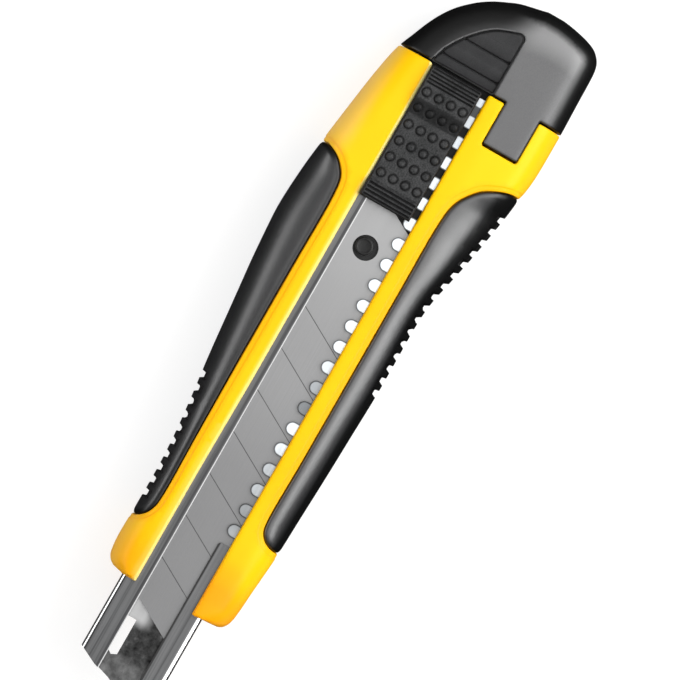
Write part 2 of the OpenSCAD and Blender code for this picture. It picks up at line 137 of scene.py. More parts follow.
def surf(P, back=False):
    """Points of the handle's outside, and their outward normals, from (x, w)."""
    def pos(x, w):
        er, el = curve(RIGHT, x) - SA, curve(LEFT, x) + SA
        t = np.where(w > er, w - er, np.where(w < el, el - w, 0.0))
        s = np.where(w > er, 1.0, -1.0)
        base = np.where(w > er, er, np.where(w < el, el, w))
        dy = np.interp(t, _arc, _qy) * SA
        q = np.interp(t, _arc, _qz)
        if back:
            zb = back_z(x)
            b = np.minimum(SB, SPLIT - zb - 0.02)
            z = zb + b * q
            z = np.where(t > LQ, zb + b + (SPLIT - zb - b) * (t - LQ) / (TOT - LQ), z)
        else:
            z = LAND - SB * q
            z = np.where(t > LQ, LAND - SB - (LAND - SB - SPLIT) * (t - LQ) / (TOT - LQ), z)
        return np.stack([x, base + s * dy * (t > 0), z], -1)
    x, w = P[:, 0], P[:, 1]
    p = pos(x, w)
    e = 0.02
    a = pos(x + e, w) - pos(x - e, w)
    b = pos(x, w + e) - pos(x, w - e)
    n = np.cross(a, b)
    if back:
        n = -n
    n /= np.linalg.norm(n, axis=1)[:, None] + 1e-12
    n[:, 0] *= 0.3
    n /= np.linalg.norm(n, axis=1)[:, None] + 1e-12
    return p, n


# ---------------------------------------------------------------- mesh tools
def spline(P, k=8):
    """Points along a smooth curve through P."""
    P = np.array(P, float)
    Q = np.vstack([2 * P[0] - P[1], P, 2 * P[-1] - P[-2]])
    out = []
    for i in range(1, len(Q) - 2):
        t0, t1 = 0.0, np.linalg.norm(Q[i] - Q[i - 1]) ** 0.5
        t2 = t1 + np.linalg.norm(Q[i + 1] - Q[i]) ** 0.5
        t3 = t2 + np.linalg.norm(Q[i + 2] - Q[i + 1]) ** 0.5
        for j in range(k):
            t = t1 + (t2 - t1) * j / k
            A1 = (t1 - t) / (t1 - t0) * Q[i - 1] + (t - t0) / (t1 - t0) * Q[i]
            A2 = (t2 - t) / (t2 - t1) * Q[i] + (t - t1) / (t2 - t1) * Q[i + 1]
            A3 = (t3 - t) / (t3 - t2) * Q[i + 1] + (t - t2) / (t3 - t2) * Q[i + 2]
            B1 = (t2 - t) / (t2 - t0) * A1 + (t - t0) / (t2 - t0) * A2
            B2 = (t3 - t) / (t3 - t1) * A2 + (t - t1) / (t3 - t1) * A3
            out.append((t2 - t) / (t2 - t1) * B1 + (t - t1) / (t2 - t1) * B2)
    out.append(P[-1])
    return np.array(out)


def loop(verts, h=0.6):
    """A closed outline from (x, y, corner radius, tag of the edge that follows). Returns points and tags."""
    n = len(verts)
    pts, tags = [], []
    for i in range(n):
        p = np.array(verts[i][:2], float)
        a = np.array(verts[i - 1][:2], float) - p
        b = np.array(verts[(i + 1) % n][:2], float) - p
        la, lb = np.linalg.norm(a), np.linalg.norm(b)
        r = verts[i][2]
        if r > 0 and la > 1e-6 and lb > 1e-6:
            a, b = a / la, b / lb
            cosv = float(np.clip(a @ b, -1, 1))
            half = math.acos(cosv) / 2
            d = min(r / math.tan(half), la * 0.45, lb * 0.45)
            rr = d * math.tan(half)
            c = p + (a + b) / np.linalg.norm(a + b) * (rr / math.sin(half))
            p0, p1 = p + a * d, p + b * d
            u0, u1 = p0 - c, p1 - c
            ang = math.acos(float(np.clip(u0 @ u1 / (rr * rr), -1, 1)))
            k = max(3, int(ang * rr / 0.16))
            for j in range(k + 1):
                f = j / k
                q = (math.sin((1 - f) * ang) * u0 + math.sin(f * ang) * u1) / math.sin(ang)
                pts.append(c + q)
                tags.append(verts[i - 1][3] if f < 0.5 else verts[i][3])
        else:
            pts.append(p)
            tags.append(verts[i][3])
    P, G = [], []
    m = len(pts)
    for i in range(m):
        p, q = pts[i], pts[(i + 1) % m]
        d = np.linalg.norm(q - p)
        if d < 1e-5:
            continue
        k = max(1, int(round(d / h)))
        for j in range(k):
            P.append(p + (q - p) * j / k)
            G.append(tags[i])
    return np.array(P), G


def seg_dist(Q, A, B, chunk=2500):
    """Smallest distance from each of Q to the segments A-B."""
    out = np.full(len(Q), 1e9)
    if len(A) == 0:
        return out
    d = B - A
    L = (d ** 2).sum(1) + 1e-12
    for i in range(0, len(Q), chunk):
        q = Q[i:i + chunk, None, :] - A[None]
        t = np.clip((q * d[None]).sum(2) / L, 0, 1)
        out[i:i + chunk] = np.sqrt(((q - t[..., None] * d[None]) ** 2).sum(2).min(1))
    return out


def inside(Q, loops, chunk=4000):
    hit = np.zeros(len(Q), bool)
    for P in loops:
        A, B = P, np.roll(P, -1, 0)
        for i in range(0, len(Q), chunk):
            x, y = Q[i:i + chunk, 0][:, None], Q[i:i + chunk, 1][:, None]
            c = (A[None, :, 1] > y) != (B[None, :, 1] > y)
            with np.errstate(divide="ignore", invalid="ignore"):
                xi = A[None, :, 0] + (y - A[None, :, 1]) * (B[None, :, 0] - A[None, :, 0]) / (B[None, :, 1] - A[None, :, 1])
            hit[i:i + chunk] ^= ((c & (x < xi)).sum(1) % 2).astype(bool)
    return hit


class Region:
    """A flat region with tagged edges, triangulated with rings along its edges."""

    def __init__(self, loops, rings, grid=1.1, extra=None, keep_off=0.35, cliffs=()):
        self.loops = [l[0] for l in loops]
        A, B, G = [], [], []
        for P, g in loops:
            A.append(P)
            B.append(np.roll(P, -1, 0))
            G += g
        self.A, self.B, self.G = np.vstack(A), np.vstack(B), np.array(G)
        free = []
        for P, g in loops:
            area = 0.5 * np.sum(P[:, 0] * np.roll(P[:, 1], -1) - np.roll(P[:, 0], -1) * P[:, 1])
            T = np.roll(P, -1, 0) - np.roll(P, 1, 0)
            T /= np.linalg.norm(T, axis=1)[:, None] + 1e-12
            N = np.stack([-T[:, 1], T[:, 0]], 1) * (1 if area > 0 else -1)
            if P is not loops[0][0]:
                N = -N
            for i in range(len(P)):
                for d in rings.get(g[i], ()):
                    free.append((P[i] + N[i] * d, d))
        F = np.array([f[0] for f in free]) if free else np.zeros((0, 2))
        D = np.array([f[1] for f in free]) if free else np.zeros(0)
        pts = [np.vstack(self.loops)]
        if len(F):
            ok = inside(F, self.loops) & (seg_dist(F, self.A, self.B) > D * 0.93)
            F = F[ok]
            pts.append(F)
        lo, hi = pts[0].min(0), pts[0].max(0)
        gx = np.arange(lo[0] + grid / 2, hi[0], grid)
        gy = np.arange(lo[1] + grid / 2, hi[1], grid * 0.866)
        X, Y = np.meshgrid(gx, gy)
        X = X + (np.arange(len(gy)) % 2)[:, None] * grid / 2
        C = np.stack([X.ravel(), Y.ravel()], 1)
        E = [C] if extra is None else [extra, C]
        used = np.vstack(pts)
        for k, C in enumerate(E):
            C = C[inside(C, self.loops)]
            gap = 0.12 if (extra is not None and k == 0) else keep_off * grid
            C = C[seg_dist(C, self.A, self.B) > gap]
            C = C[near(C, used) > gap]
            used = np.vstack([used, C])
        edges, base = [], 0
        for P in self.loops:
            n = len(P)
            edges += [(base + i, base + (i + 1) % n) for i in range(n)]
            base += n
        v, e, f, *_ = geometry.delaunay_2d_cdt([Vector(p) for p in used], edges, [], 0, 1e-7)
        self.V = np.array([(p.x, p.y) for p in v])
        f = np.array([t for t in f if len(t) == 3])
        c = self.V[f].mean(1)
        f = f[inside(c, self.loops)]
        a, b, c = self.V[f[:, 0]], self.V[f[:, 1]], self.V[f[:, 2]]
        ar = (b[:, 0] - a[:, 0]) * (c[:, 1] - a[:, 1]) - (b[:, 1] - a[:, 1]) * (c[:, 0] - a[:, 0])
        f[ar < 0] = f[ar < 0][:, ::-1]
        self.F = f[np.abs(ar) > 1e-9]
        keep = np.unique(self.F)
        m = np.full(len(self.V), -1)
        m[keep] = np.arange(len(keep))
        self.V, self.F = self.V[keep], m[self.F]

    def dist(self, *tags):
        k = np.isin(self.G, tags)
        return seg_dist(self.V, self.A[k], self.B[k])


def near(Q, P, chunk=1500):
    out = np.full(len(Q), 1e9)
    for i in range(0, len(Q), chunk):
        out[i:i + chunk] = np.sqrt(((Q[i:i + chunk, None] - P[None]) ** 2).sum(2).min(1))
    return out


def drop(d, r):
    """How far a rounded edge of radius r lies under the surface, at distance d from the edge."""
    u = np.clip(1 - d / r, 0, 1)
    return r * (1 - np.sqrt(np.clip(1 - u * u, 0, 1)))


def ring(r):
    return [r * k for k in (0.035, 0.13, 0.3, 0.55, 1.0)]


def step(x, a, b):
    t = np.clip((x - a) / (b - a), 0, 1)
    return t * t * (3 - 2 * t)


def make(name, V, F, mat, body, replaces=(), smooth=38, attrs=None):
    me = bpy.data.meshes.new(name)
    V = np.asarray(V, float)
    V = np.stack([(V[:, 0] + OX) * 1e-3, (V[:, 1] + OY) * 1e-3, V[:, 2] * 1e-3], 1)
    me.from_pydata([tuple(v) for v in V], [], [tuple(int(i) for i in f) for f in F])
    me.validate(verbose=False)
    me.update()
    for k, val in (attrs or {}).items():
        a = me.attributes.new(k, "FLOAT", "POINT")
        a.data.foreach_set("value", np.asarray(val, np.float32))
    o = bpy.data.objects.new(name, me)
    bpy.context.scene.collection.objects.link(o)
    me.materials.append(mat)
    me.polygons.foreach_set("use_smooth", [True] * len(me.polygons))
    me.set_sharp_from_angle(angle=math.radians(smooth))
    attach(o, body)
    if replaces:
        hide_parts(*replaces)
    return o


def skin(name, reg, top, bottom, mat, body, replaces=(), smooth=38, attrs=None, flip=False):
    """A closed solid: the region's triangles on top, the same ones below, and a wall round every edge."""
    n = len(top)
    F = [tuple(t) for t in reg.F]
    count = {}
    for t in F:
        for i in range(3):
            count[(t[i], t[(i + 1) % 3])] = 1
    rim = [(a, b) for (a, b) in count if (b, a) not in count]
    faces = list(F) + [(c + n, b + n, a + n) for a, b, c in F] + [(b, a, a + n, b + n) for a, b in rim]
    if flip:
        faces = [f[::-1] for f in faces]
    at_ = None if attrs is None else {k: np.concatenate([v, v]) for k, v in attrs.items()}
    return make(name, np.vstack([top, bottom]), faces, mat, body, replaces, smooth, at_)


def lathe(name, cx, cy, prof, mat, body, n=48, replaces=(), smooth=35):
    """A turned piece about a vertical axis. prof runs from the axis at one end to the axis at the other, as (r, z)."""
    V, F = [], []
    rings_ = []
    for r, z in prof:
        if r < 1e-6:
            rings_.append([len(V)])
            V.append((cx, cy, z))
        else:
            rings_.append(list(range(len(V), len(V) + n)))
            V += [(cx + r * math.cos(2 * math.pi * k / n), cy + r * math.sin(2 * math.pi * k / n), z) for k in range(n)]
    for a, b in zip(rings_, rings_[1:]):
        for k in range(n):
            k2 = (k + 1) % n
            if len(a) == 1:
                F.append((a[0], b[k2], b[k]))
            elif len(b) == 1:
                F.append((a[k], a[k2], b[0]))
            else:
                F.append((a[k], a[k2], b[k2], b[k]))
    return make(name, V, F, mat, body, replaces, smooth)


def ring_piece(name, cx, cy, prof, mat, body, n=48):
    """A turned ring: prof is a closed outline that doesn't touch the axis."""
    V, F, m = [], [], len(prof)
    for k in range(n):
        c, s = math.cos(2 * math.pi * k / n), math.sin(2 * math.pi * k / n)
        V += [(cx + r * c, cy + r * s, z) for r, z in prof]
    for k in range(n):
        k2 = (k + 1) % n
        for j in range(m):
            j2 = (j + 1) % m
            F.append((k * m + j, k2 * m + j, k2 * m + j2, k * m + j2))
    return make(name, V, F, mat, body)


# ---------------------------------------------------------------- materials
def material(name):
    m = bpy.data.materials.new(name)
    m.use_nodes = True
    nt = m.node_tree
    return m, nt, nt.nodes["Principled BSDF"]


def coords(nt, scale=(1, 1, 1)):
    tc = nt.nodes.new("ShaderNodeTexCoord")
    mp = nt.nodes.new("ShaderNodeMapping")
    mp.inputs["Scale"].default_value = scale
    nt.links.new(tc.outputs["Object"], mp.inputs["Vector"])
    return mp.outputs["Vector"]


def noise(nt, vec, scale, detail=2.0, rough=0.5):
    n = nt.nodes.new("ShaderNodeTexNoise")
    n.inputs["Scale"].default_value = scale
    n.inputs["Detail"].default_value = detail
    n.inputs["Roughness"].default_value = rough
    nt.links.new(vec, n.inputs["Vector"])
    return n.outputs["Fac"]


def ramp(nt, fac, stops):
    r = nt.nodes.new("ShaderNodeValToRGB")
    el = r.color_ramp.elements
    while len(el) < len(stops):
        el.new(0.5)
    for e, (p, c) in zip(el, stops):
        e.position = p
        e.color = (*c, 1) if len(c) == 3 else c
    nt.links.new(fac, r.inputs["Fac"])
    return r.outputs["Color"]


def remap(nt, fac, a, b, lo, hi):
    m = nt.nodes.new("ShaderNodeMapRange")
    m.inputs["From Min"].default_value = a
    m.inputs["From Max"].default_value = b
    m.inputs["To Min"].default_value = lo
    m.inputs["To Max"].default_value = hi
    nt.links.new(fac, m.inputs["Value"])
    return m.outputs["Result"]


def bump(nt, bs, height, strength, distance):
    b = nt.nodes.new("ShaderNodeBump")
    b.inputs["Strength"].default_value = strength
    b.inputs["Distance"].default_value = distance
    nt.links.new(height, b.inputs["Height"])
    nt.links.new(b.outputs["Normal"], bs.inputs["Normal"])


def mix(nt, fac, a, b, mode="MIX"):
    m = nt.nodes.new("ShaderNodeMix")
    m.data_type = "RGBA"
    m.blend_type = mode
    for sock, v in ((m.inputs[0], fac), (m.inputs[6], a), (m.inputs[7], b)):
        if isinstance(v, (int, float)):
            sock.default_value = v
        elif isinstance(v, tuple):
            sock.default_value = (*v, 1)
        else:
            nt.links.new(v, sock)
    return m.outputs[2]


def attr(nt, name):
    a = nt.nodes.new("ShaderNodeAttribute")
    a.attribute_name = name
    return a.outputs["Fac"]


def axes(nt):
    tc = nt.nodes.new("ShaderNodeTexCoord")
    sx = nt.nodes.new("ShaderNodeSeparateXYZ")
    nt.links.new(tc.outputs["Object"], sx.inputs[0])
    return sx.outputs


def band(nt, v, a, b, soft, hi=1.0):
    """hi where v lies between a and b, fading to 0 over soft at both ends."""
    m = nt.nodes.new("ShaderNodeMath")
    m.operation = "MINIMUM"
    for k, (p, q) in enumerate(((a - soft, a + soft), (b + soft, b - soft))):
        r = nt.nodes.new("ShaderNodeMapRange")
        r.interpolation_type = "SMOOTHSTEP"
        r.inputs["From Min"].default_value, r.inputs["From Max"].default_value = p, q
        r.inputs["To Max"].default_value = hi
        nt.links.new(v, r.inputs["Value"])
        nt.links.new(r.outputs["Result"], m.inputs[k])
    return m.outputs[0]


def both(nt, a, b, op="MULTIPLY"):
    m = nt.nodes.new("ShaderNodeMath")
    m.operation = op
    for k, v in enumerate((a, b)):
        if isinstance(v, (int, float)):
            m.inputs[k].default_value = v
        else:
            nt.links.new(v, m.inputs[k])
    return m.outputs[0]


def yellow():
    m, nt, bs = material("yellow_plastic")
    v = coords(nt)
    big = noise(nt, v, 55, 2)
    base = ramp(nt, big, [(0.3, (1.0, 0.535, 0.001)), (0.7, (1.0, 0.575, 0.002))])
    # painted shade deepens the colour towards the nose and edges; a painted light makes it lighter where the light
    # falls; a painted rim light, with extra sheen, lies along the left side; and a painted highlight runs along the
    # slot's left edge
    base = mix(nt, attr(nt, "painted_light"), base, (1.0, 0.60, 0.006))
    base = mix(nt, attr(nt, "edge"), base, (0.97, 0.375, 0.003))
    base = mix(nt, attr(nt, "rim"), base, (1.0, 0.62, 0.10))
    base = mix(nt, attr(nt, "painted_highlight"), base, (1.0, 0.86, 0.30))
    nt.links.new(base, bs.inputs["Base Color"])
    nt.links.new(remap(nt, attr(nt, "rim"), 0, 1, 0, 1.0), bs.inputs["Sheen Weight"])
    bs.inputs["Sheen Tint"].default_value = (1.0, 0.6, 0.25, 1)
    bs.inputs["Sheen Roughness"].default_value = 0.45
    fine = noise(nt, v, 2600, 3, 0.6)
    nt.links.new(remap(nt, fine, 0.3, 0.7, 0.30, 0.38), bs.inputs["Roughness"])
    bs.inputs["Specular IOR Level"].default_value = 0.12
    bs.inputs["Subsurface Weight"].default_value = 0.06
    bs.inputs["Subsurface Radius"].default_value = (0.9, 0.5, 0.02)
    bs.inputs["Subsurface Scale"].default_value = 0.001
    bump(nt, bs, fine, 0.05, 0.00004)
    return m


def rubber(name="black_rubber", dark=(0.008, 0.008, 0.009), light=(0.024, 0.024, 0.025), rough=(0.34, 0.46), grain=5200,
           depth=0.22, level=1.0, cavity=False, coat=0.6):
    m, nt, bs = material(name)
    v = coords(nt)
    sp = noise(nt, v, grain, 3, 0.62)
    cl = noise(nt, v, 240, 3, 0.55)
    col = mix(nt, 0.35, ramp(nt, sp, [(0.36, dark), (0.66, light)]), ramp(nt, cl, [(0.3, dark), (0.7, light)]))
    if coat:
        col = mix(nt, attr(nt, "shade"), col, (0.003, 0.003, 0.003))
    # painted shade in the grooves and along the edges
    if cavity:
        col = mix(nt, attr(nt, "edge"), col, (0.003, 0.003, 0.003))
    nt.links.new(col, bs.inputs["Base Color"])
    nt.links.new(remap(nt, sp, 0.3, 0.7, *rough), bs.inputs["Roughness"])
    bs.inputs["Specular IOR Level"].default_value = level
    bs.inputs["Coat Weight"].default_value = coat
    if coat:
        # painted shade: towards the outer side the skin is darkened and its coat and specular are turned down
        sh = attr(nt, "shade")
        nt.links.new(remap(nt, sh, 0, 1, coat, coat * 0.06), bs.inputs["Coat Weight"])
        nt.links.new(remap(nt, sh, 0, 1, level, level * 0.18), bs.inputs["Specular IOR Level"])
    bs.inputs["Coat Roughness"].default_value = 0.29
    bump(nt, bs, sp, depth, 0.00006)
    return m


def cap_plastic():
    m, nt, bs = material("cap_plastic")
    v = coords(nt)
    fine = noise(nt, v, 3800, 3, 0.6)
    cl = noise(nt, v, 130, 3, 0.5)
    grey = ramp(nt, fine, [(0.3, (0.098, 0.098, 0.1)), (0.7, (0.122, 0.122, 0.124))])
    grey = mix(nt, 0.12, grey, ramp(nt, cl, [(0.3, (0.08, 0.08, 0.08)), (0.7, (0.14, 0.14, 0.14))]))
    # painted highlight: paler towards the rear shoulder
    grey = mix(nt, attr(nt, "painted_highlight"), grey, (0.30, 0.30, 0.30))
    # painted shade: black on the rolled rim and in the gaps
    nt.links.new(mix(nt, attr(nt, "edge"), grey, (0.004, 0.004, 0.004)), bs.inputs["Base Color"])
    nt.links.new(remap(nt, fine, 0.3, 0.7, 0.34, 0.44), bs.inputs["Roughness"])
    bs.inputs["Specular IOR Level"].default_value = 0.5
    bump(nt, bs, fine, 0.12, 0.00004)
    return m


def steel(name, tone, along=(60, 2600, 2600), rough=(0.24, 0.40), spread=0.12, depth=0.08, paint=None):
    m, nt, bs = material(name)
    v = coords(nt, along)
    br = noise(nt, v, 1.0, 4, 0.65)
    v2 = coords(nt)
    cl = noise(nt, v2, 90, 3, 0.5)
    lo = tuple(c * (1 - spread) for c in tone)
    hi = tuple(min(1, c * (1 + spread)) for c in tone)
    col = ramp(nt, br, [(0.3, lo), (0.7, hi)])
    col = mix(nt, 0.25, col, ramp(nt, cl, [(0.3, lo), (0.7, hi)]))
    if paint:
        col = paint(nt, col, br, cl)
    nt.links.new(col, bs.inputs["Base Color"])
    bs.inputs["Metallic"].default_value = 1.0
    nt.links.new(remap(nt, br, 0.3, 0.7, *rough), bs.inputs["Roughness"])
    bump(nt, bs, br, depth, 0.00003)
    return m


def gx(v):
    return (v + OX) * 1e-3


def gy(v):
    return (v + OY) * 1e-3


PAINTED_TOOTH_GLINTS = [0.42, 0.40, 0.44, 0.46, 0.72, 0.78, 0.20, 0.34, 0.66, 0.80, 0.86, 0.84, 0.88, 0.90, 0.86, 0.84, 0.82, 0.70, 0.80, 0.62]


def paint_rail(nt, col, br, cl):
    x, y, z = axes(nt)
    # the lips: painted shade beside the inner edges and in thin dark lines, brushed streaks, and painted highlights on
    # the cut edge and where the sheet turns over
    col = mix(nt, both(nt, band(nt, y, gy(-5.1), gy(-4.6), 0.0001), 0.45), col, (0.05, 0.05, 0.052))
    v3 = coords(nt, (12, 900, 900))
    streak = noise(nt, v3, 1.0, 3, 0.6)
    col = mix(nt, remap(nt, streak, 0.42, 0.66, 0.0, 0.7), col, (0.175, 0.175, 0.177))
    col = mix(nt, remap(nt, streak, 0.44, 0.32, 0.0, 0.7), col, (0.055, 0.055, 0.057))
    col = mix(nt, band(nt, y, gy(-4.40), gy(-3.9), 0.00005), col, (0.6, 0.6, 0.6))
    col = mix(nt, both(nt, band(nt, y, gy(4.4), gy(5.15), 0.00012), band(nt, x, gx(42.6), gx(80), 0.0001)), col, (0.04, 0.04, 0.04))
    col = mix(nt, band(nt, y, gy(-8.8), gy(-8.62), 0.00008), col, (0.05, 0.05, 0.05))
    col = mix(nt, band(nt, y, gy(-11), gy(-9.0), 0.0001), col, (0.8, 0.8, 0.81))
    col = mix(nt, band(nt, y, gy(8.75), gy(9.55), 0.0001), col, (0.98, 0.98, 0.98))
    # painted reflections: each tooth has its own tilt, so each gets its own painted tone
    lo, n = 39.5 - 4.95 * 19 - 2.475, 20
    r = nt.nodes.new("ShaderNodeMapRange")
    r.inputs["From Min"].default_value, r.inputs["From Max"].default_value = gx(lo), gx(lo + 4.95 * n)
    nt.links.new(x, r.inputs["Value"])
    cr = nt.nodes.new("ShaderNodeValToRGB")
    cr.color_ramp.interpolation = "CONSTANT"
    el = cr.color_ramp.elements
    while len(el) < n:
        el.new(0.5)
    for k in range(n):
        t = PAINTED_TOOTH_GLINTS[n - 1 - k]
        el[k].position = k / n
        el[k].color = (t * 0.94, t * 0.99, min(1, t * 1.03), 1)
    nt.links.new(r.outputs["Result"], cr.inputs["Fac"])
    tooth = both(nt, both(nt, band(nt, x, gx(-80), gx(42.5), 0.0001), band(nt, y, gy(4.6), gy(8.2), 0.0001)),
                 band(nt, z, 0.0162, 0.02, 0.0001))
    # painted shade: a dark line round each tooth, where its edge is rounded over
    k = both(nt, both(nt, x, 1000 / 4.95), (39.5 + OX) / 4.95 - 40.5, "SUBTRACT")
    k = both(nt, both(nt, k, 0, "FRACT"), 0.5, "SUBTRACT")
    k = both(nt, k, 4.95)
    j = both(nt, both(nt, both(nt, y, 1000), 6.3 + OY, "SUBTRACT"), 0, "MINIMUM")
    dist = both(nt, both(nt, both(nt, k, k), both(nt, j, j), "ADD"), 0.5, "POWER")
    ring_ = remap(nt, dist, 1.12, 1.36, 0.0, 0.93)
    # the teeth towards the nose are also darkened in patches
    tooth_glint_and_shade = mix(nt, both(nt, remap(nt, cl, 0.42, 0.6, 0.0, 0.5), band(nt, x, gx(20), gx(42.5), 0.004)), cr.outputs["Color"], (0.16, 0.16, 0.16))
    tooth_glint_and_shade = mix(nt, ring_, tooth_glint_and_shade, (0.035, 0.035, 0.035))
    col = mix(nt, tooth, col, tooth_glint_and_shade)
    # the channel's floor in front of the blade: painted shade, blotchy and less dark at the nose
    fl = band(nt, z, 0.0142, 0.0152, 0.0001)
    v = coords(nt)
    blot = noise(nt, v, 420, 4, 0.65)
    dark = ramp(nt, blot, [(0.35, (0.012, 0.012, 0.012)), (0.6, (0.05, 0.05, 0.05)), (0.75, (0.11, 0.11, 0.11))])
    nose = ramp(nt, blot, [(0.35, (0.07, 0.07, 0.07)), (0.7, (0.16, 0.16, 0.16))])
    f = mix(nt, band(nt, x, gx(74.2), gx(90), 0.0016), dark, nose)
    # a painted highlight: a pale patch on the floor by the nose
    painted_highlight = both(nt, band(nt, x, gx(50), gx(66.6), 0.0013), band(nt, y, gy(-12), gy(0.2), 0.0016))
    f = mix(nt, painted_highlight, f, (0.42, 0.42, 0.42))
    # under the blade it is plain brushed steel
    f = mix(nt, band(nt, x, gx(-95), gx(50), 0.003), f, ramp(nt, br, [(0.3, (0.10, 0.10, 0.102)), (0.7, (0.15, 0.15, 0.152))]))
    return mix(nt, fl, col, f)


def paint_blade(nt, col, br, cl):
    x, y, z = axes(nt)
    # the middle segments are lighter
    col = mix(nt, band(nt, x, gx(-7), gx(18), 0.02, 0.9), col, ramp(nt, br, [(0.3, (0.255, 0.255, 0.257)), (0.7, (0.292, 0.292, 0.294))]))
    # painted shade: a thin dark line along each score groove
    u = both(nt, both(nt, x, 1000 / 10.1), both(nt, y, 560 / 10.1), "SUBTRACT")
    u = both(nt, u, 66.504 / 10.1 - 20, "SUBTRACT")
    f = both(nt, u, 0, "FRACT")
    r = nt.nodes.new("ShaderNodeValToRGB")
    el = r.color_ramp.elements
    stops = [(0.0, 1), (0.005, 1), (0.012, 0), (0.024, 0), (0.978, 0), (0.988, 0.0), (0.994, 1)]
    while len(el) < len(stops):
        el.new(0.5)
    for e, (p, c) in zip(el, stops):
        e.position, e.color = p, (c, c, c, 1)
    nt.links.new(f, r.inputs["Fac"])
    only = both(nt, band(nt, u, 12.5, 19.5, 0.05), band(nt, z, 0.016, 0.02, 0.0001))
    # paler towards the tang
    col = mix(nt, band(nt, x, gx(-60), gx(-12), 0.02, 0.5), col, (0.42, 0.42, 0.42))
    return mix(nt, both(nt, r.outputs["Color"], only), col, (0.07, 0.07, 0.07))


M_YEL = yellow()
M_RUB = rubber(cavity=True)
M_CAP = cap_plastic()
M_PAD = rubber("pad_rubber", (0.012, 0.012, 0.013), (0.03, 0.03, 0.031), (0.5, 0.62), 4200, 0.2, 0.3, coat=0.0)
M_BTN = rubber("button_plastic", (0.006, 0.007, 0.007), (0.062, 0.062, 0.063), (0.45, 0.62), 3000, 0.6, 0.2, True, coat=0.0)
M_BLK = rubber("black_plastic", (0.005, 0.005, 0.005), (0.014, 0.014, 0.014), (0.4, 0.52), 3400, 0.15, 0.28, coat=0.0)
M_RAIL = steel("rail_steel", (0.115, 0.116, 0.118), (40, 1500, 1500), (0.26, 0.4), 0.34, 0.1, paint_rail)
M_BLADE = steel("blade_steel", (0.215, 0.215, 0.217), (45, 3600, 3600), (0.30, 0.42), 0.07, 0.05, paint_blade)
M_SPRING = steel("spring_steel", (0.5, 0.5, 0.52))
M_SCREW = steel("screw_steel", (0.34, 0.34, 0.36), (900, 900, 900), (0.25, 0.4))
SLOT_MAT = {"yellow_plastic": M_YEL, "black_rubber": M_RUB, "black_plastic": M_BLK, "button_plastic": M_BTN,
            "cap_plastic": M_CAP, "rail_steel": M_RAIL, "blade_steel": M_BLADE, "spring_steel": M_SPRING,
            "screw_steel": M_SCREW}
for sp_ in frame["record"]["subparts"]:
    o = frame["nodes"][sp_["node"]]
    o.data.materials.clear()
    o.data.materials.append(SLOT_MAT[sp_["material_slot"]])
for node, wdt in (("rail", 0.00025), ("blade_carrier", 0.00015), ("shell_screws", 0.0001), ("blade_tray", 0.00015), ("lock_pawl", 0.00006)):
    md = frame["nodes"][node].modifiers.new("soft_edges", "BEVEL")
    md.width, md.segments, md.limit_method, md.angle_limit = wdt, 3, "ANGLE", math.radians(50)
    md.harden_normals = True

# ---------------------------------------------------------------- handle shells
R_SLOT, R_GRIP, R_NOSE, R_REAR, R_SEAT, R_SPLIT = 0.75, 0.4, 0.9, 0.4, 0.4, 0.12
RINGS = {"slot": ring(R_SLOT), "grip": ring(R_GRIP) + [0.95, 1.08, 1.22, 1.36], "nose": ring(R_NOSE),
         "rear": ring(R_REAR), "seat": ring(R_SEAT), "split": ring(R_SPLIT)}
RADII = {"slot": R_SLOT, "grip": R_GRIP, "nose": R_NOSE, "rear": R_REAR, "seat": R_SEAT, "split": R_SPLIT}
X0, X1 = -66.45, NOSE


def path(right, P):
    return [(p[0], float(w_of(p[0], p[1]))) for p in P]


def edge_run(xa, xb, right, h=0.8):
    n = max(2, int(abs(xb - xa) / h))
    xs = xa + (xb - xa) * np.arange(n + 1) / n
    return [(float(x), float(w_edge(x, right))) for x in xs]


def grip_curve(right, gap=0.0):
    """The grip's outline in (x, w), from the split line at its front end to the split line at its rear end."""
    P = spline(GRIP_R if right else GRIP_L, 6)
    Q = np.array(path(right, P))
    a = (Q[0, 0], float(w_edge(Q[0, 0], right)))
    b = (Q[-1, 0], float(w_edge(Q[-1, 0], right)))
    k = 10
    head = [(a[0], a[1] + (Q[0, 1] - a[1]) * i / k) for i in range(k)]
    tail = [(b[0], Q[-1, 1] + (b[1] - Q[-1, 1]) * (i + 1) / k) for i in range(k)]
    C = np.array(head + [tuple(q) for q in Q] + tail)
    if gap:
        T = np.gradient(C, axis=0)
        T /= np.linalg.norm(T, axis=1)[:, None]
        N = np.stack([-T[:, 1], T[:, 0]], 1)
        s = 1 if right else -1
        C = C - N * gap * s * np.ones((len(C), 1))
        C[0, 1] = w_edge(C[0, 0], right)
        C[-1, 1] = w_edge(C[-1, 0], right)
    return C


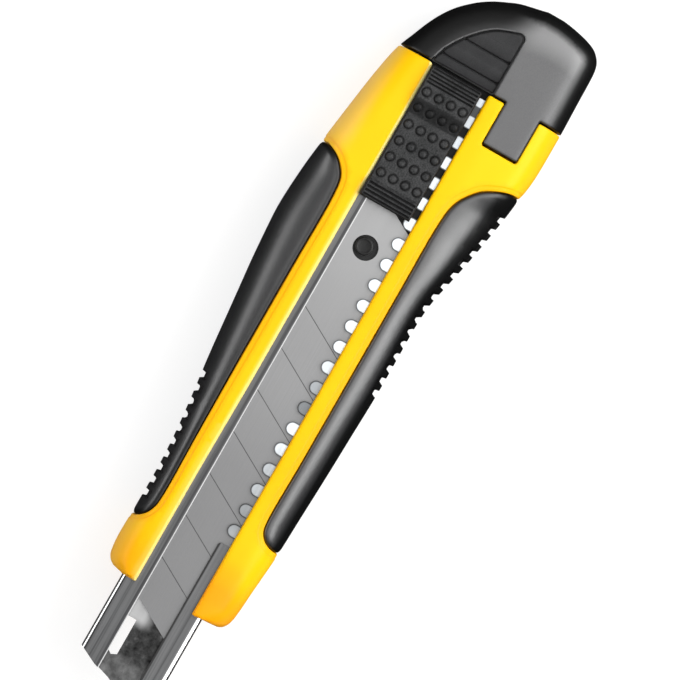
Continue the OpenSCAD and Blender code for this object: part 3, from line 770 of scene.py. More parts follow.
def shell_heights(reg, back=False, thick=1.7, extra_drop=None):
    p, n = surf(reg.V, back)
    h = np.zeros(len(p))
    for tag, r in RADII.items():
        if (reg.G == tag).any():
            # the slot's edge is crisper beside the button
            k = 1 - 0.55 * (p[:, 1] < 0) * (1 - step(p[:, 0], -41, -36)) if tag == "slot" else 1
            h = np.maximum(h, drop(reg.dist(tag), r) * k)
    dg = reg.dist("grip")
    h = h + 0.13 * (1 - step(dg, 1.0, 1.32))
    if extra_drop is not None:
        h = h + extra_drop
    # painted shade: darker along the split line and round the grips, and towards the nose
    edge = np.clip(1 - np.minimum(reg.dist("split"), dg * 0.8) / 1.0, 0, 1) * 0.6
    x, y = reg.V[:, 0], p[:, 1]
    edge = np.clip(edge + (0.75 * step(x, 47, 55) + 0.15 * step(x, 40, 48)) * np.where(y > 0, 1, 0.75), 0, 1)
    # painted light: lighter at the right side's rear and in a streak by the right nose
    painted_light = step(y, 9.5, 13) * (1 - step(x, -40, -30)) + 0.7 * step(x, 36, 40) * (1 - step(x, 48, 50)) * step(y, 11.5, 12.8) * (1 - step(y, 14, 15))
    # painted highlight along the slot's left edge
    painted_highlight = np.zeros(len(x))
    if not back:
        ds = reg.dist("slot")
        painted_highlight = (y < 0) * np.where(x > -37, 0.8 * (1 - step(ds, 0.15, 1.0)), 1 - step(ds, 0.35, 0.7))
    # painted rim light along the left side and at the nose's left tip
    rim = 0.9 * step(-y, 11.5, 15.5) * (1 - step(x, -46, -38))
    edge = np.where(rim > 0.1, np.minimum(edge, 0.2), edge)
    tip = 0.3 * step(-y, 10.3, 13.2) * step(x, 44, 49)
    rim, edge = np.maximum(rim, tip), np.where(tip > 0.05, np.minimum(edge, 0.6), edge)
    edge = edge + 0.4 * step(x, 44, 48) * (y > 0) * (1 - step(y, 12, 13.6)) * (1 - step(x, 52, 56))
    # painted shade in the little ledge round each grip
    edge = np.maximum(edge, (0.75 * np.exp(-((dg - 1.2) / 0.2) ** 2) + 0.3 * (dg < 1.1)) * np.where(y > 0, 0.6, 1.0))
    # painted shade towards the outer side of the right rear
    edge = np.maximum(edge, 0.42 * step(y, 20.5, 23.5) * (1 - step(x, -52, -48)))
    top, bot = p - n * h[:, None], p - n * (np.maximum(h, 0) + thick)[:, None]
    if not back:
        # nothing of the skin stands in the slider's slot, or in the channel that the rail fills
        sd = np.where(p[:, 1] > 0, 1.0, -1.0)
        lim = np.where(sd > 0, 9.9, 9.8)
        slot = np.where(sd > 0, 7.25, 6.4)
        wide = np.where(sd > 0, curve(RIGHT, x), -curve(LEFT, x))
        cy = np.minimum(9.6, wide - 0.02)
        lid = p[:, 1] * sd < cy
        full = slot + (np.maximum(p[:, 1] * sd, slot) - slot) * (lim + 0.1 - slot) / (cy - slot)
        k = step(x, 54, 56.5)
        for P, m in ((top, 0.1), (bot, 0.0)):
            a = P[:, 1] * sd
            low = P[:, 2] < 17.42 + m
            b = np.where(lid, a + k * (np.minimum(full, lim + m) - a), np.where(low, np.maximum(a, lim + m), a))
            P[:, 1] = sd * np.where(x > 45, np.maximum(b, slot), b)
            P[lid & low, 2] = 17.42 + m
    return (top, bot,
            {"edge": np.clip(edge, 0, 1), "painted_light": np.clip(painted_light, 0, 1), "painted_highlight": painted_highlight, "rim": rim})


def front_half(right):
    g = grip_curve(right)
    V = []
    if right:
        V.append((X0, 7.2, 0.6, "slot"))
        V.append((X1, 7.25, 0.5, "nose"))
        run = edge_run(X1, float(g[0, 0]), True)
        V += [(p[0], p[1], 0, "split") for p in run]
        V += [(p[0], p[1], 0, "grip") for p in g]
        run = edge_run(float(g[-1, 0]), X0, True)
        V += [(p[0], p[1], 0, "split") for p in run[:-1]]
        V.append((run[-1][0], run[-1][1], 0.3, "rear"))
        V.append((X0, float(w_of(X0, 19.45)), 0.35, "seat"))
        V.append((-56.5, float(w_of(-56.5, 19.45)), 0.55, "seat"))
        V.append((-56.5, 10.95, 0.55, "seat"))
        V.append((X0, 10.95, 0.35, "rear"))
    else:
        V.append((X1, -6.4, 0.5, "slot"))
        V += [(33, -6.4, 0, "slot"), (22, -6.28, 0, "slot"), (10, -6.15, 0, "slot"), (X0, -6.15, 0.9, "rear")]
        run = edge_run(X0, float(g[-1, 0]), False)
        V.append((run[0][0], run[0][1], 0.3, "split"))
        V += [(p[0], p[1], 0, "split") for p in run[1:]]
        V += [(p[0], p[1], 0, "grip") for p in g[::-1]]
        run = edge_run(float(g[0, 0]), X1, False)
        V += [(p[0], p[1], 0, "split") for p in run[:-1]]
        V.append((run[-1][0], run[-1][1], 0.3, "nose"))
    reg = Region([loop(V)], RINGS)
    top, bot, edge = shell_heights(reg)
    return skin("front_shell_" + ("right" if right else "left"), reg, top, bot, M_YEL, "handle",
                ("front_shell",), attrs=edge)


front_half(True)
front_half(False)

SCREWS = [(51.5, 12.3), (51.5, -11.7), (-60.5, 21.2), (-50, -13.4)]


def back_shell():
    gr, gl = grip_curve(True), grip_curve(False)
    V = []
    run = edge_run(X1, float(gr[0, 0]), True)
    V.append((run[0][0], run[0][1], 0.3, "split"))
    V += [(p[0], p[1], 0, "split") for p in run[1:]]
    V += [(p[0], p[1], 0, "grip") for p in gr]
    run = edge_run(float(gr[-1, 0]), X0, True)
    V += [(p[0], p[1], 0, "split") for p in run[:-1]]
    V.append((run[-1][0], run[-1][1], 0.3, "rear"))
    run = edge_run(X0, float(gl[-1, 0]), False)
    V.append((run[0][0], run[0][1], 0.3, "split"))
    V += [(p[0], p[1], 0, "split") for p in run[1:]]
    V += [(p[0], p[1], 0, "grip") for p in gl[::-1]]
    run = edge_run(float(gl[0, 0]), X1, False)
    V += [(p[0], p[1], 0, "split") for p in run[:-1]]
    V.append((run[-1][0], run[-1][1], 0.3, "nose"))
    loops = [loop(V)]
    for sx, sy in SCREWS:
        a = np.radians(np.arange(0, 360, 10))
        X, Y = sx + 2.15 * np.cos(a), sy + 2.15 * np.sin(a)
        loops.append((np.stack([X, w_of(X, Y)], 1), ["hole"] * len(a)))
    rings = dict(RINGS)
    rings["hole"] = ring(0.3)
    reg = Region(loops, rings)
    hd = drop(reg.dist("hole"), 0.3)
    top, bot, edge = shell_heights(reg, True, extra_drop=hd)
    skin("rear_shell_skin", reg, top, bot, M_YEL, "handle", ("rear_shell",), attrs=edge, flip=True)
    for i, (sx, sy) in enumerate(SCREWS):
        ring_piece("screw_well_%d" % i, sx, sy, [(2.13, 3.4), (2.13, 6.3), (1.3, 6.3), (1.3, 7.1), (2.7, 7.1), (2.7, 3.9)],
                   M_YEL, "handle")


back_shell()


def wall_yz(name, outer, holes, x0, x1, mat, body, r=0.0):
    """A plate across the handle, from x0 to x1, with holes."""
    loops = [loop([(y, z, 0.0, "o") for y, z in outer], 0.8)]
    for h in holes:
        loops.append(loop([(y, z, 0.25, "h") for y, z in h], 0.8))
    reg = Region(loops, {}, grid=2.5)
    n = len(reg.V)
    a = np.stack([np.full(n, x1), reg.V[:, 0], reg.V[:, 1]], 1)
    b = np.stack([np.full(n, x0), reg.V[:, 0], reg.V[:, 1]], 1)
    # painted shade: the plate is toned deeper all over
    return skin(name, reg, a, b, mat, body, attrs={"edge": np.full(n, 0.3)})


def outline_yz(x, inset, zlo=None, zhi=None):
    """The handle's cross-section at x, smaller by inset."""
    er, el = float(curve(RIGHT, x)) - SA, float(curve(LEFT, x)) + SA
    zb = float(back_z(x)) + inset
    zt = LAND - inset
    sb = SB - inset
    sb2 = min(SB, SPLIT - float(back_z(x)) - 0.02) - inset
    sa = SA - inset
    k = np.radians(np.linspace(0, 90, 13))
    qy, qz = np.sin(k) ** (2 / SN), 1 - np.cos(k) ** (2 / SN)
    P = [(er + sa * y, zt - sb * z) for y, z in zip(qy, qz)]
    P += [(er + sa * y, zb + sb2 * z) for y, z in zip(qy[::-1], qz[::-1])]
    P += [(el - sa * y, zb + sb2 * z) for y, z in zip(qy, qz)]
    P += [(el - sa * y, zt - sb * z) for y, z in zip(qy[::-1], qz[::-1])]
    return P


def nose_wall():
    P = outline_yz(58.3, 0.95)
    # the slider's slot opens the top edge, and the rail fills the hole under it
    Q = [p for p in P if not (p[1] > 16.5 and -9.85 < p[0] < 8.2)]
    Q += [(-9.8, 16.9), (-9.75, 13.65), (9.85, 13.65), (9.85, 17.35), (8.2, 17.35), (8.2, 17.95)]
    wall_yz("front_shell_nose_wall", Q, [], 57.0, 58.35, M_YEL, "handle")


nose_wall()


# ---------------------------------------------------------------- grips
PITCH_R, PITCH_L = 2.98, 3.05


def teeth(x, x_first, pitch, count, tip=1.55, soft=0.22):
    """1 on a rib's tip, 0 in the groove between two ribs."""
    u = np.abs((x - x_first + pitch / 2) % pitch - pitch / 2)
    t = 1 - step(u, tip / 2 - soft * 0.6, tip / 2 + soft * 0.6)
    t = np.where(x < x_first - pitch + tip / 4, 1.0, t)
    t = np.where(x > x_first + count * pitch - tip / 4, 1.0, t)
    return t


def grip(right, back):
    g = grip_curve(right, 0.18)
    V = [(p[0], p[1], 0, "grip") for p in g]
    run = edge_run(float(g[-1, 0]), float(g[0, 0]), right, 0.5)
    V += [(p[0], p[1], 0, "split") for p in run[1:-1]]
    V[0] = (V[0][0], V[0][1], 0, "grip")
    first, pitch, cnt, depth = (-43.5, PITCH_R, 15, 0.95) if right else (15.8, PITCH_L, 9, 0.85)
    offs = np.array([-0.5 * pitch, -1.15, -0.93, -0.85, -0.775, -0.7, -0.62, -0.3, 0, 0.3, 0.62, 0.7, 0.775, 0.85, 0.93, 1.15])
    xs = (first + pitch * np.arange(-1, cnt + 1)[:, None] + offs[None]).ravel()
    ts = np.concatenate([np.arange(4.0, TOT - 0.3, 0.55)])
    X, T = np.meshgrid(xs, ts)
    W = (curve(RIGHT, X) - SA + T) if right else (curve(LEFT, X) + SA - T)
    extra = np.stack([X.ravel(), W.ravel()], 1)
    rings = {"grip": [0.02, 0.08, 0.17, 0.3, 0.5, 0.75, 1.0, 1.35], "split": ring(R_SPLIT)}
    reg = Region([loop(V, 0.5)], rings, grid=0.95, extra=extra, keep_off=0.5)
    p, n = surf(reg.V, back)
    x = reg.V[:, 0]
    t = np.where(right, reg.V[:, 1] - (curve(RIGHT, x) - SA), (curve(LEFT, x) + SA) - reg.V[:, 1])
    rib = teeth(x, first, pitch, cnt)
    lo, hi = (-46.0, 0.6) if right else (13.4, 42.4)
    if not right:
        lo = 12.9
    mask = step(t, 5.6, 7.0)
    cut = depth * mask * (1 - rib)
    # soft waist: the face of the grip swells slightly between its edges
    dg = reg.dist("grip")
    h = drop(dg, 1.35) * 0.42 + drop(dg, 0.3) * 0.5 + drop(reg.dist("split"), R_SPLIT) + 0.04
    # across the grip the rubber falls away from its inner edge in one full curve
    G = sorted(GRIP_R if right else GRIP_L)
    y_in = np.interp(x, [a[0] for a in G], [a[1] for a in G])
    y_out = curve(RIGHT, x) if right else curve(LEFT, x)
    sf = np.clip((p[:, 1] - y_in) / (y_out - y_in), 0, 1)
    d_out = np.abs(y_out - p[:, 1])
    if right:
        sf = sf ** (0.82 + 0.18 * step(x, -37, -26))
        dd = np.interp(x, [-50, -44, -36, -28, -20, 0, 40], [4.6, 4.7, 4.4, 3.3, 2.5, 2.1, 1.7])
        shade = 0.95 * (1 - step(d_out, 0.7 * dd, 1.15 * dd))
    else:
        shade = np.maximum(0.14, 0.85 * (1 - step(dg, 0.55, 1.5)))
    zt = back_z(x) if back else LAND
    fall = np.abs(p[:, 2] - zt)
    full = np.minimum(SB, np.abs(SPLIT - zt) - 0.02) * (1 - np.sqrt(np.clip(1 - sf * sf, 0, 1)))
    ends = step(x, -50.5, -44) * (1 - step(x, 34.5, 38.8)) if right else step(x, -40.5, -34) * (1 - step(x, 41, 46))
    more = np.clip(full - fall, 0, None) * ends * np.clip((1 - sf) / 0.04, 0, 1)
    p = p.copy()
    p[:, 2] += more if back else -more
    q = p - n * h[:, None]
    # painted shade in the groove along the grip's edge
    cav = (1 - step(dg, 0.2, 0.75)) * 0.9
    q[:, 1] += np.where(right, -cut, cut)
    b = p - n * (h + 1.35)[:, None]
    b[:, 1] += np.where(right, -cut * 0.4, cut * 0.4)
    name = ("rear_" if back else "front_") + ("right" if right else "left") + "_grip"
    skin(name + "_rubber", reg, q, b, M_RUB, "handle", (name,), flip=bool(back), attrs={"edge": cav, "shade": shade})


def seat(right, back):
    """The shell's floor under a grip."""
    g = grip_curve(right, -0.45)
    V = [(p[0], p[1], 0, "o") for p in g]
    run = edge_run(float(g[-1, 0]), float(g[0, 0]), right, 1.0)
    V += [(p[0], p[1], 0, "o") for p in run[1:-1]]
    reg = Region([loop(V, 1.2)], {}, grid=2.0)
    p, n = surf(reg.V, back)
    x, y = reg.V[:, 0], p[:, 1]
    m = len(x)
    # painted shade: the seat is toned deep all over, as it lies in shade under the grip
    skin(("rear_" if back else "front_") + ("right" if right else "left") + "_grip_seat", reg, p - n * 3.0, p - n * 3.7, M_YEL,
         "handle", ("rear_shell" if back else "front_shell",), flip=bool(back), attrs={"edge": np.ones(m)})


for rt in (True, False):
    for bk in (False, True):
        grip(rt, bk)
        seat(rt, bk)

# ---------------------------------------------------------------- end cap
CZ, CB = 19.4, 0.1
CAP_X = -66.9


def cap():
    xs = np.concatenate([np.linspace(CAP_X, -84.0, 30), np.linspace(-84.3, -88, 26)])
    rim_r = [(float(x), float(curve(RIGHT, x))) for x in xs]
    rim_l = [(float(x), float(curve(LEFT, x))) for x in xs[::-1]]
    V = [(p[0], p[1], 0, "rim") for p in rim_r + rim_l[:-1]]
    V.append((rim_l[-1][0], rim_l[-1][1], 0, "front"))
    V.append((CAP_X, 11.1, 0.2, "tongue"))
    V.append((-57.0, 11.1, 0.6, "tongue"))
    V.append((-57.0, 19.3, 0.6, "tongue"))
    V.append((CAP_X, 19.3, 0.2, "front"))
    outer = loop(V, 0.5)
    # steep places: the wall of the pad's seat, and the cap's front face under the tongue
    pad = np.array([(p[0], p[1]) for p in PAD])
    seat = [(CAP_X + 0.6, 8.15)] + [(p[0] - 0.12, p[1] + (0.15 if p[1] > 7.5 else -0.12)) for p in PAD[1:-1]] + [(CAP_X + 0.6, -7.05)]
    sp = np.vstack([np.array(seat[:3]), spline(seat[2:-1], 5), np.array(seat[-1:])])
    sd = []
    for a, b in zip(sp, sp[1:]):
        k = max(1, int(np.linalg.norm(b - a) / 0.45))
        sd += [a + (b - a) * i / k for i in range(k)]
    sd = np.array(sd)
    T = np.gradient(sd, axis=0)
    T /= np.linalg.norm(T, axis=1)[:, None] + 1e-9
    N = np.stack([-T[:, 1], T[:, 0]], 1)
    ex = [sd + N * o for o in (-0.45, -0.25, -0.1, -0.015, 0.015, 0.2)]
    ty = np.arange(11.3, 19.2, 0.4)
    for o in (-0.02, 0.02):
        ex.append(np.stack([np.full(len(ty), CAP_X + o), ty], 1))
    extra = np.vstack(ex)
    th = np.radians([8, 16, 25, 34, 43, 52, 61, 70, 79])
    rim_rings = sorted(set([round(float(SA * (1 - math.cos(a) ** (2 / SN))), 3) for a in th] + [0.02]))
    rings = {"rim": rim_rings, "tongue": ring(0.45), "front": ring(0.5)}
    reg = RegionFree(outer, rings, extra)
    x, y = reg.V[:, 0], reg.V[:, 1]
    # distance to the whole silhouette, carried on past the joint so that the tongue follows the handle
    xe = np.linspace(CAP_X, -50, 30)
    far = np.array([(float(a), float(curve(RIGHT, a))) for a in xe])
    k = np.isin(reg.G, ["rim"])
    A = np.vstack([reg.A[k], far[:-1]])
    B = np.vstack([reg.B[k], far[1:]])
    far = np.array([(float(a), float(curve(LEFT, a))) for a in xe])
    A, B = np.vstack([A, far[:-1]]), np.vstack([B, far[1:]])
    d = seg_dist(reg.V, A, B)
    u = np.clip(1 - d / SA, 0, 1)
    q = 1 - (1 - u ** SN) ** (1 / SN)
    top = CZ - SB * q
    bot = CB + SB * q
    # ease the crease that runs in from the corner: average the height over a fine grid
    gs = 0.3
    gxs, gys = np.arange(-91, -48, gs), np.arange(-20, 28, gs)
    GX, GY = np.meshgrid(gxs, gys, indexing="ij")
    Q = np.stack([GX.ravel(), GY.ravel()], 1)
    sil = np.vstack([A[:, :], B[-1:]])
    inb = (Q[:, 1] < curve(RIGHT, Q[:, 0])) & (Q[:, 1] > curve(LEFT, Q[:, 0])) & (Q[:, 0] > -88)
    gu = np.clip(1 - seg_dist(Q, A, B) / SA, 0, 1)
    gq = np.where(inb, 1 - (1 - gu ** SN) ** (1 / SN), 1.0).reshape(GX.shape)
    kr = np.exp(-(np.arange(-14, 15) * gs / 1.25) ** 2 / 2)
    kr /= kr.sum()
    for ax in (0, 1):
        gq = np.apply_along_axis(lambda v: np.convolve(np.pad(v, 14, "edge"), kr, "valid"), ax, gq)
    fi, fj = (x - gxs[0]) / gs, (y - gys[0]) / gs
    i0, j0 = fi.astype(int), fj.astype(int)
    fi, fj = fi - i0, fj - j0
    qs = (gq[i0, j0] * (1 - fi) * (1 - fj) + gq[i0 + 1, j0] * fi * (1 - fj) + gq[i0, j0 + 1] * (1 - fi) * fj + gq[i0 + 1, j0 + 1] * fi * fj)
    wq = step(d, 1.2, 4.2)
    q = q * (1 - wq) + qs * wq
    top = CZ - SB * q
    bot = CB + SB * q
    e = np.maximum(drop(reg.dist("tongue"), 0.45) * (x > CAP_X - 0.3), drop(reg.dist("front"), 0.5))
    loop_seat = np.vstack([sp, [(-60, -7.05), (-60, 8.15)]])
    in_pad = inside(reg.V, [loop_seat]) & (x < CAP_X + 0.3)
    dp = seg_dist(reg.V, sp[:-1], sp[1:])
    e = np.maximum(e, drop(dp, 0.3) * (~in_pad))
    top = top - e
    top = np.where(in_pad, np.minimum(top, 16.9), top)
    tongue = x > CAP_X
    bot = np.where(tongue, 17.5, bot + drop(reg.dist("front"), 0.4) * (~tongue))
    # painted shade: black on the rolled rim, in the gaps round the tongue and the front face, and over the lower left
    # slope, lifted by a thin painted highlight along the pad seat's edge
    edge = 1 - step(d, 2.3, 3.9)
    edge = np.maximum(edge, 0.75 * (1 - step(np.minimum(reg.dist("tongue"), reg.dist("front")), 0.05, 0.45)))
    low = step(-y - 0.55 * (x + 80), -8.5, -1.5)
    edge = np.maximum(edge, low)
    rim_light = (1 - step(np.abs(dp - 0.22), 0.1, 0.22)) * (~in_pad) * (y < 5.5)
    edge = edge * (1 - 0.75 * rim_light)
    # painted highlight towards the rear shoulder, weaker round a spot nearer the tongue
    painted_highlight = np.clip(step(-x, 76, 84) * step(y, 4, 11) * 0.62 - 0.25 * (1 - step(np.hypot(x + 74.5, (y - 15) * 0.7), 2, 7)), 0, 1)
    skin("end_cap_body", reg, np.stack([x, y, top], 1), np.stack([x, y, bot], 1), M_CAP, "end_cap",
         ("end_cap",), smooth=42, attrs={"edge": edge, "painted_highlight": painted_highlight})


class RegionFree(Region):
    """A region whose extra points lie close together on purpose."""

    def __init__(self, outer, rings, extra):
        Region.__init__(self, [outer], rings, grid=0.9, extra=None)
        # triangulate again with the close pairs added
        V = self.V
        ex = extra[inside(extra, self.loops)]
        ex = ex[seg_dist(ex, self.A, self.B) > 0.1]
        V = V[(near(V, ex) > 0.12) | (seg_dist(V, self.A, self.B) < 1e-6)]
        P = self.loops[0]
        free = V[seg_dist(V, self.A, self.B) > 1e-6]
        used = np.vstack([P, free, ex])
        m = len(P)
        edges = [(i, (i + 1) % m) for i in range(m)]
        v, e, f, *_ = geometry.delaunay_2d_cdt([Vector(p) for p in used], edges, [], 0, 1e-7)
        self.V = np.array([(p.x, p.y) for p in v])
        f = np.array([t for t in f if len(t) == 3])
        f = f[inside(self.V[f].mean(1), self.loops)]
        a, b, c = self.V[f[:, 0]], self.V[f[:, 1]], self.V[f[:, 2]]
        ar = (b[:, 0] - a[:, 0]) * (c[:, 1] - a[:, 1]) - (b[:, 1] - a[:, 1]) * (c[:, 0] - a[:, 0])
        f[ar < 0] = f[ar < 0][:, ::-1]
        f = f[np.abs(ar) > 1e-9]
        keep = np.unique(f)
        mm = np.full(len(self.V), -1)
        mm[keep] = np.arange(len(keep))
        self.V, self.F = self.V[keep], mm[f]


cap()


def box_tube(name, x0, x1, y0, y1, z0, z1, t, mat, body, r=0.8):
    """A rectangular tube along x with rounded corners."""
    def rr(y0, y1, z0, z1, r, n=5):
        P = []
        for cy, cz, a0 in ((y1 - r, z1 - r, 0), (y0 + r, z1 - r, 90), (y0 + r, z0 + r, 180), (y1 - r, z0 + r, 270)):
            P += [(cy + r * math.cos(math.radians(a0 + 90 * i / n)), cz + r * math.sin(math.radians(a0 + 90 * i / n))) for i in range(n + 1)]
        return P
    O, I = rr(y0, y1, z0, z1, r), rr(y0 + t, y1 - t, z0 + t, z1 - t, max(0.2, r - t * 0.4))
    S, F = [], []
    prof = [(x0, O, 0), (x1 - 0.3, O, 0), (x1, O, 0.25), (x1, I, -0.25), (x1 - 0.3, I, 0), (x0, I, 0)]
    cy, cz = (y0 + y1) / 2, (z0 + z1) / 2
    for x, C, s in prof:
        S += [(x, y - (s if y > cy else -s), z - (s if z > cz else -s)) for y, z in C]
    n, m = len(O), len(prof)
    for i in range(m):
        i2 = (i + 1) % m
        for k in range(n):
            k2 = (k + 1) % n
            F.append((i * n + k, i * n + k2, i2 * n + k2, i2 * n + k))
    return make(name, S, F, mat, body)


box_tube("end_cap_plug", -68.5, -57.5, -11.6, 17.1, 2.4, 13.2, 1.5, M_BLK, "end_cap")


def pad_piece():
    P = [(-67.1, 7.85), (-79.9, 7.85)] + [(p[0] + 0.12, p[1] + (0 if p[1] > 0 else 0.05)) for p in PAD[3:-1]] + [(-67.1, -6.65)]
    P = [tuple(p) for p in P[:2]] + [tuple(p) for p in spline(P[2:-1], 4)] + [P[-1]]
    V = [(P[0][0], P[0][1], 0.3, "side")] + [(P[1][0], P[1][1], 0.7, "side")] + [(p[0], p[1], 0, "side") for p in P[2:-1]] + [(P[-1][0], P[-1][1], 0.4, "side")]
    outer = loop(V, 0.4)
    xs = []
    for c in (-69.2, -74.1):
        xs += [c - 0.32, c - 0.2, c - 0.1, c, c + 0.08, c + 0.2]
    for c in (-71.7, -77.0):
        xs += [c - 0.22, c - 0.08, c + 0.08, c + 0.22]
    ys = np.arange(-6.4, 7.8, 0.45)
    X, Y = np.meshgrid(xs, ys)
    reg = Region([outer], {"side": ring(0.3)}, grid=0.8, extra=np.stack([X.ravel(), Y.ravel()], 1))
    x, y = reg.V[:, 0], reg.V[:, 1]
    kx = [-81, -77.14, -76.86, -74.45, -74.28, -74.02, -73.9, -71.84, -71.56, -69.55, -69.38, -69.12, -69.0, -67.1]
    kz = [19.0, 18.75, 18.9, 18.62, 17.7, 17.7, 18.55, 18.25, 18.38, 18.12, 17.3, 17.3, 18.1, 17.85]
    z = np.interp(x, kx, kz) - drop(reg.dist("side"), 0.3)
    skin("cap_pad_ribbed", reg, np.stack([x, y, z], 1), np.stack([x, y, np.full(len(x), 16.95)], 1), M_PAD,
         "end_cap", ("cap_pad",), smooth=25)


pad_piece()


# ---------------------------------------------------------------- thumb button
def button():
    x0, x1, y0, y1 = -66.2, -35.0, -6.0, 5.9
    def grid_line(a, b, h, breaks=()):
        s = set(np.round(np.arange(a, b + 1e-6, h), 4)) | {a, b}
        for c in breaks:
            s |= {round(c - 0.05, 4), round(c + 0.05, 4)}
        for e in (0.03, 0.12, 0.26, 0.42):
            s |= {round(a + e, 4), round(b - e, 4)}
        s = sorted(s)
        out = [s[0]]
        for v in s[1:]:
            if v - out[-1] > 0.024:
                out.append(v)
        out[-1] = b
        return np.array(out)
    X = grid_line(x0, x1, 0.13, (-58.7, -55.2, -39.2))
    Y = grid_line(y0, y1, 0.13)
    XX, YY = np.meshgrid(X, Y, indexing="ij")
    z = np.interp(XX, [-66.2, -65.7, -62.2, -58.75, -58.6, -55.3, -55.1, -39.3, -38.7, -35.5, -35.0],
                  [20.35, 20.7, 20.85, 20.86, 20.8, 20.05, 19.98, 19.98, 20.5, 20.6, 20.3])
    # painted shade in the rib grooves, round each stud, across the dip behind the studs and along the edges
    cav = np.zeros_like(XX)
    # cross ribs at both ends
    for a, b, n in ((-66.0, -62.05, 5), (-38.75, -35.15, 4)):
        p = (b - a) / n
        u = ((XX - a) % p) / p
        g = 1 - step(np.abs(u - 0.5), 0.13, 0.3)
        side = step(np.minimum(YY - y0, y1 - YY), 0.35, 0.6)
        z = z - 0.42 * g * side * ((XX > a) & (XX < b))
        cav = np.maximum(cav, g * side * ((XX > a) & (XX < b)))
    # studs
    for cx in (-60.4, -56.7, -52.7, -48.75, -44.9, -41.1):
        for cy in (4.25, 1.4, -1.5, -4.4):
            r = np.hypot(XX - cx, YY - cy)
            dome = 0.52 * np.sqrt(np.clip(1 - (r / 0.88) ** 2.6, 0, 1))
            groove = -0.1 * np.exp(-((r - 1.02) / 0.15) ** 2)
            z = z + dome + groove
            cav = np.maximum(cav, 1.0 * np.exp(-((r - 0.98) / 0.2) ** 2))
    cav = np.maximum(cav, 0.75 * step(XX, -59.0, -58.2) * (1 - step(XX, -55.6, -54.6)))
    cav = np.maximum(cav, 0.8 * (1 - step(np.minimum(XX - x0, x1 - XX), 0.1, 0.5)))
    cav = np.maximum(cav, 0.8 * (1 - step(np.minimum(YY - y0, y1 - YY), 0.1, 0.4)))
    d = np.minimum(np.minimum(XX - x0, x1 - XX), np.minimum(YY - y0, y1 - YY))
    z = z - drop(d, 0.42)
    V = np.stack([XX.ravel(), YY.ravel(), z.ravel()], 1)
    nx, ny = len(X), len(Y)
    idx = np.arange(nx * ny).reshape(nx, ny)
    F = [(idx[i, j], idx[i + 1, j], idx[i + 1, j + 1], idx[i, j + 1]) for i in range(nx - 1) for j in range(ny - 1)]
    rim = [idx[i, 0] for i in range(nx)] + [idx[nx - 1, j] for j in range(1, ny)] + [idx[i, ny - 1] for i in range(nx - 2, -1, -1)] + [idx[0, j] for j in range(ny - 2, 0, -1)]
    n = len(V)
    m = len(rim)
    low = V[rim].copy()
    low[:, 2] = 17.4
    inn = low.copy()
    inn[:, 0] = np.clip(inn[:, 0], x0 + 0.9, x1 - 0.9)
    inn[:, 1] = np.clip(inn[:, 1], y0 + 0.9, y1 - 0.9)
    cei = inn.copy()
    cei[:, 2] = 19.1
    allv = np.vstack([V, low, inn, cei, [[(x0 + x1) / 2, (y0 + y1) / 2, 19.1]]])
    # painted shade over the button's sides and underside
    cv = np.concatenate([cav.ravel(), np.ones(3 * m + 1) * 0.6])
    for k in range(m):
        k2 = (k + 1) % m
        F.append((rim[k2], rim[k], n + k, n + k2))
        F.append((n + k2, n + k, n + m + k, n + m + k2))
        F.append((n + m + k2, n + m + k, n + 2 * m + k, n + 2 * m + k2))
        F.append((n + 2 * m + k2, n + 2 * m + k, n + 3 * m))
    o = make("thumb_button_grip", allv, F, M_BTN, "thumb_button", ("thumb_button",), smooth=50, attrs={"edge": cv})
    return o


button()

# ---------------------------------------------------------------- peg in the blade's hole
lathe("blade_peg_head", -25.95, 0.3, [(0, 14.6), (1.95, 14.6), (1.97, 16.55), (1.9, 16.85), (1.72, 16.97), (1.5, 16.98), (1.36, 16.9), (1.2, 16.86), (0, 16.84)][::-1],
      M_BLK, "carriage", 64, ("blade_peg",))

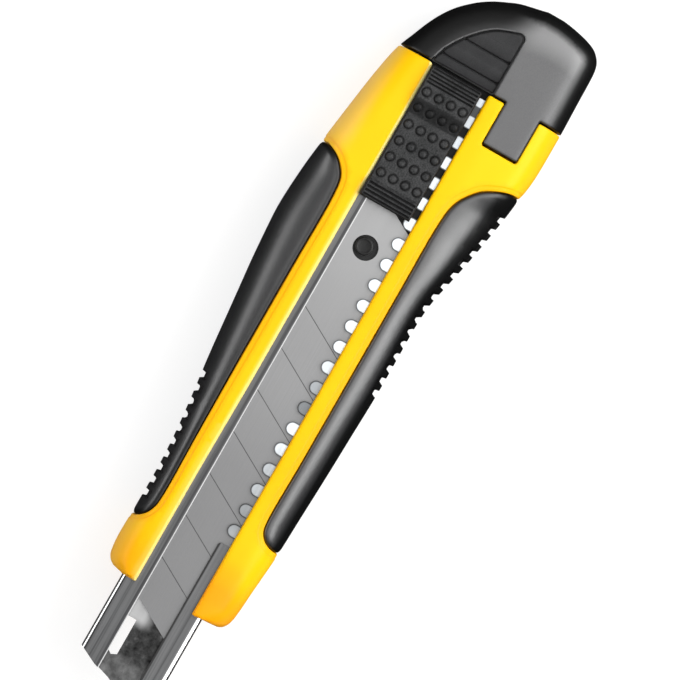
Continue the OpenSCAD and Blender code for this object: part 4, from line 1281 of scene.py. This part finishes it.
# ---------------------------------------------------------------- stage and light
fm, fnt, fbs = material("floor_white")
fbs.inputs["Base Color"].default_value = (0.3, 0.3, 0.3, 1)
fbs.inputs["Roughness"].default_value = 0.9
fbs.inputs["Specular IOR Level"].default_value = 0.0
fbs.inputs["Emission Color"].default_value = (1, 1, 1, 1)
fbs.inputs["Emission Strength"].default_value = 0.78
me = bpy.data.meshes.new("floor")
me.from_pydata([(-6, -6, -0.0002), (6, -6, -0.0002), (6, 6, -0.0002), (-6, 6, -0.0002)], [], [(0, 1, 2, 3)])
floor = bpy.data.objects.new("floor", me)
me.materials.append(fm)
bpy.context.scene.collection.objects.link(floor)
floor.visible_glossy = False

world = bpy.data.worlds.new("studio")
bpy.context.scene.world = world
world.use_nodes = True
wnt = world.node_tree
bg = wnt.nodes["Background"]
wc = wnt.nodes.new("ShaderNodeTexCoord")
ws = wnt.nodes.new("ShaderNodeSeparateXYZ")
wnt.links.new(wc.outputs["Generated"], ws.inputs[0])
# dim round the horizon, brighter overhead, like a studio ceiling
wcol = ramp(wnt, remap(wnt, ws.outputs[2], -1, 1, 0, 1), [(0.5, (0.012, 0.012, 0.012)), (0.62, (0.03, 0.03, 0.03)), (0.85, (0.28, 0.28, 0.28))])
wnt.links.new(wcol, bg.inputs["Color"])
bg.inputs["Strength"].default_value = 1.0


def area(name, pos, target, w, h, radiance):
    li = bpy.data.lights.new(name, "AREA")
    li.shape = "RECTANGLE"
    li.size, li.size_y = w, h
    li.energy = radiance * math.pi * w * h
    o = bpy.data.objects.new(name, li)
    bpy.context.scene.collection.objects.link(o)
    d = Vector(target) - Vector(pos)
    o.location = pos
    o.rotation_euler = d.to_track_quat("-Z", "Y").to_euler()
    return o


C = Vector(at(-6, 5, 10))
area("top_softbox", C + Vector((-0.497 * 0.34, 0.868 * 0.34, 1.1)), C, 1.1, 1.1, 1.66)
area("key_right", C + Vector((-0.497 * 0.46, 0.868 * 0.46, 0.42)), C, 0.8, 0.36, 4.9)
area("fill_left", C + Vector((0.2, -0.55, 0.38)), C, 0.6, 0.25, 3.2)
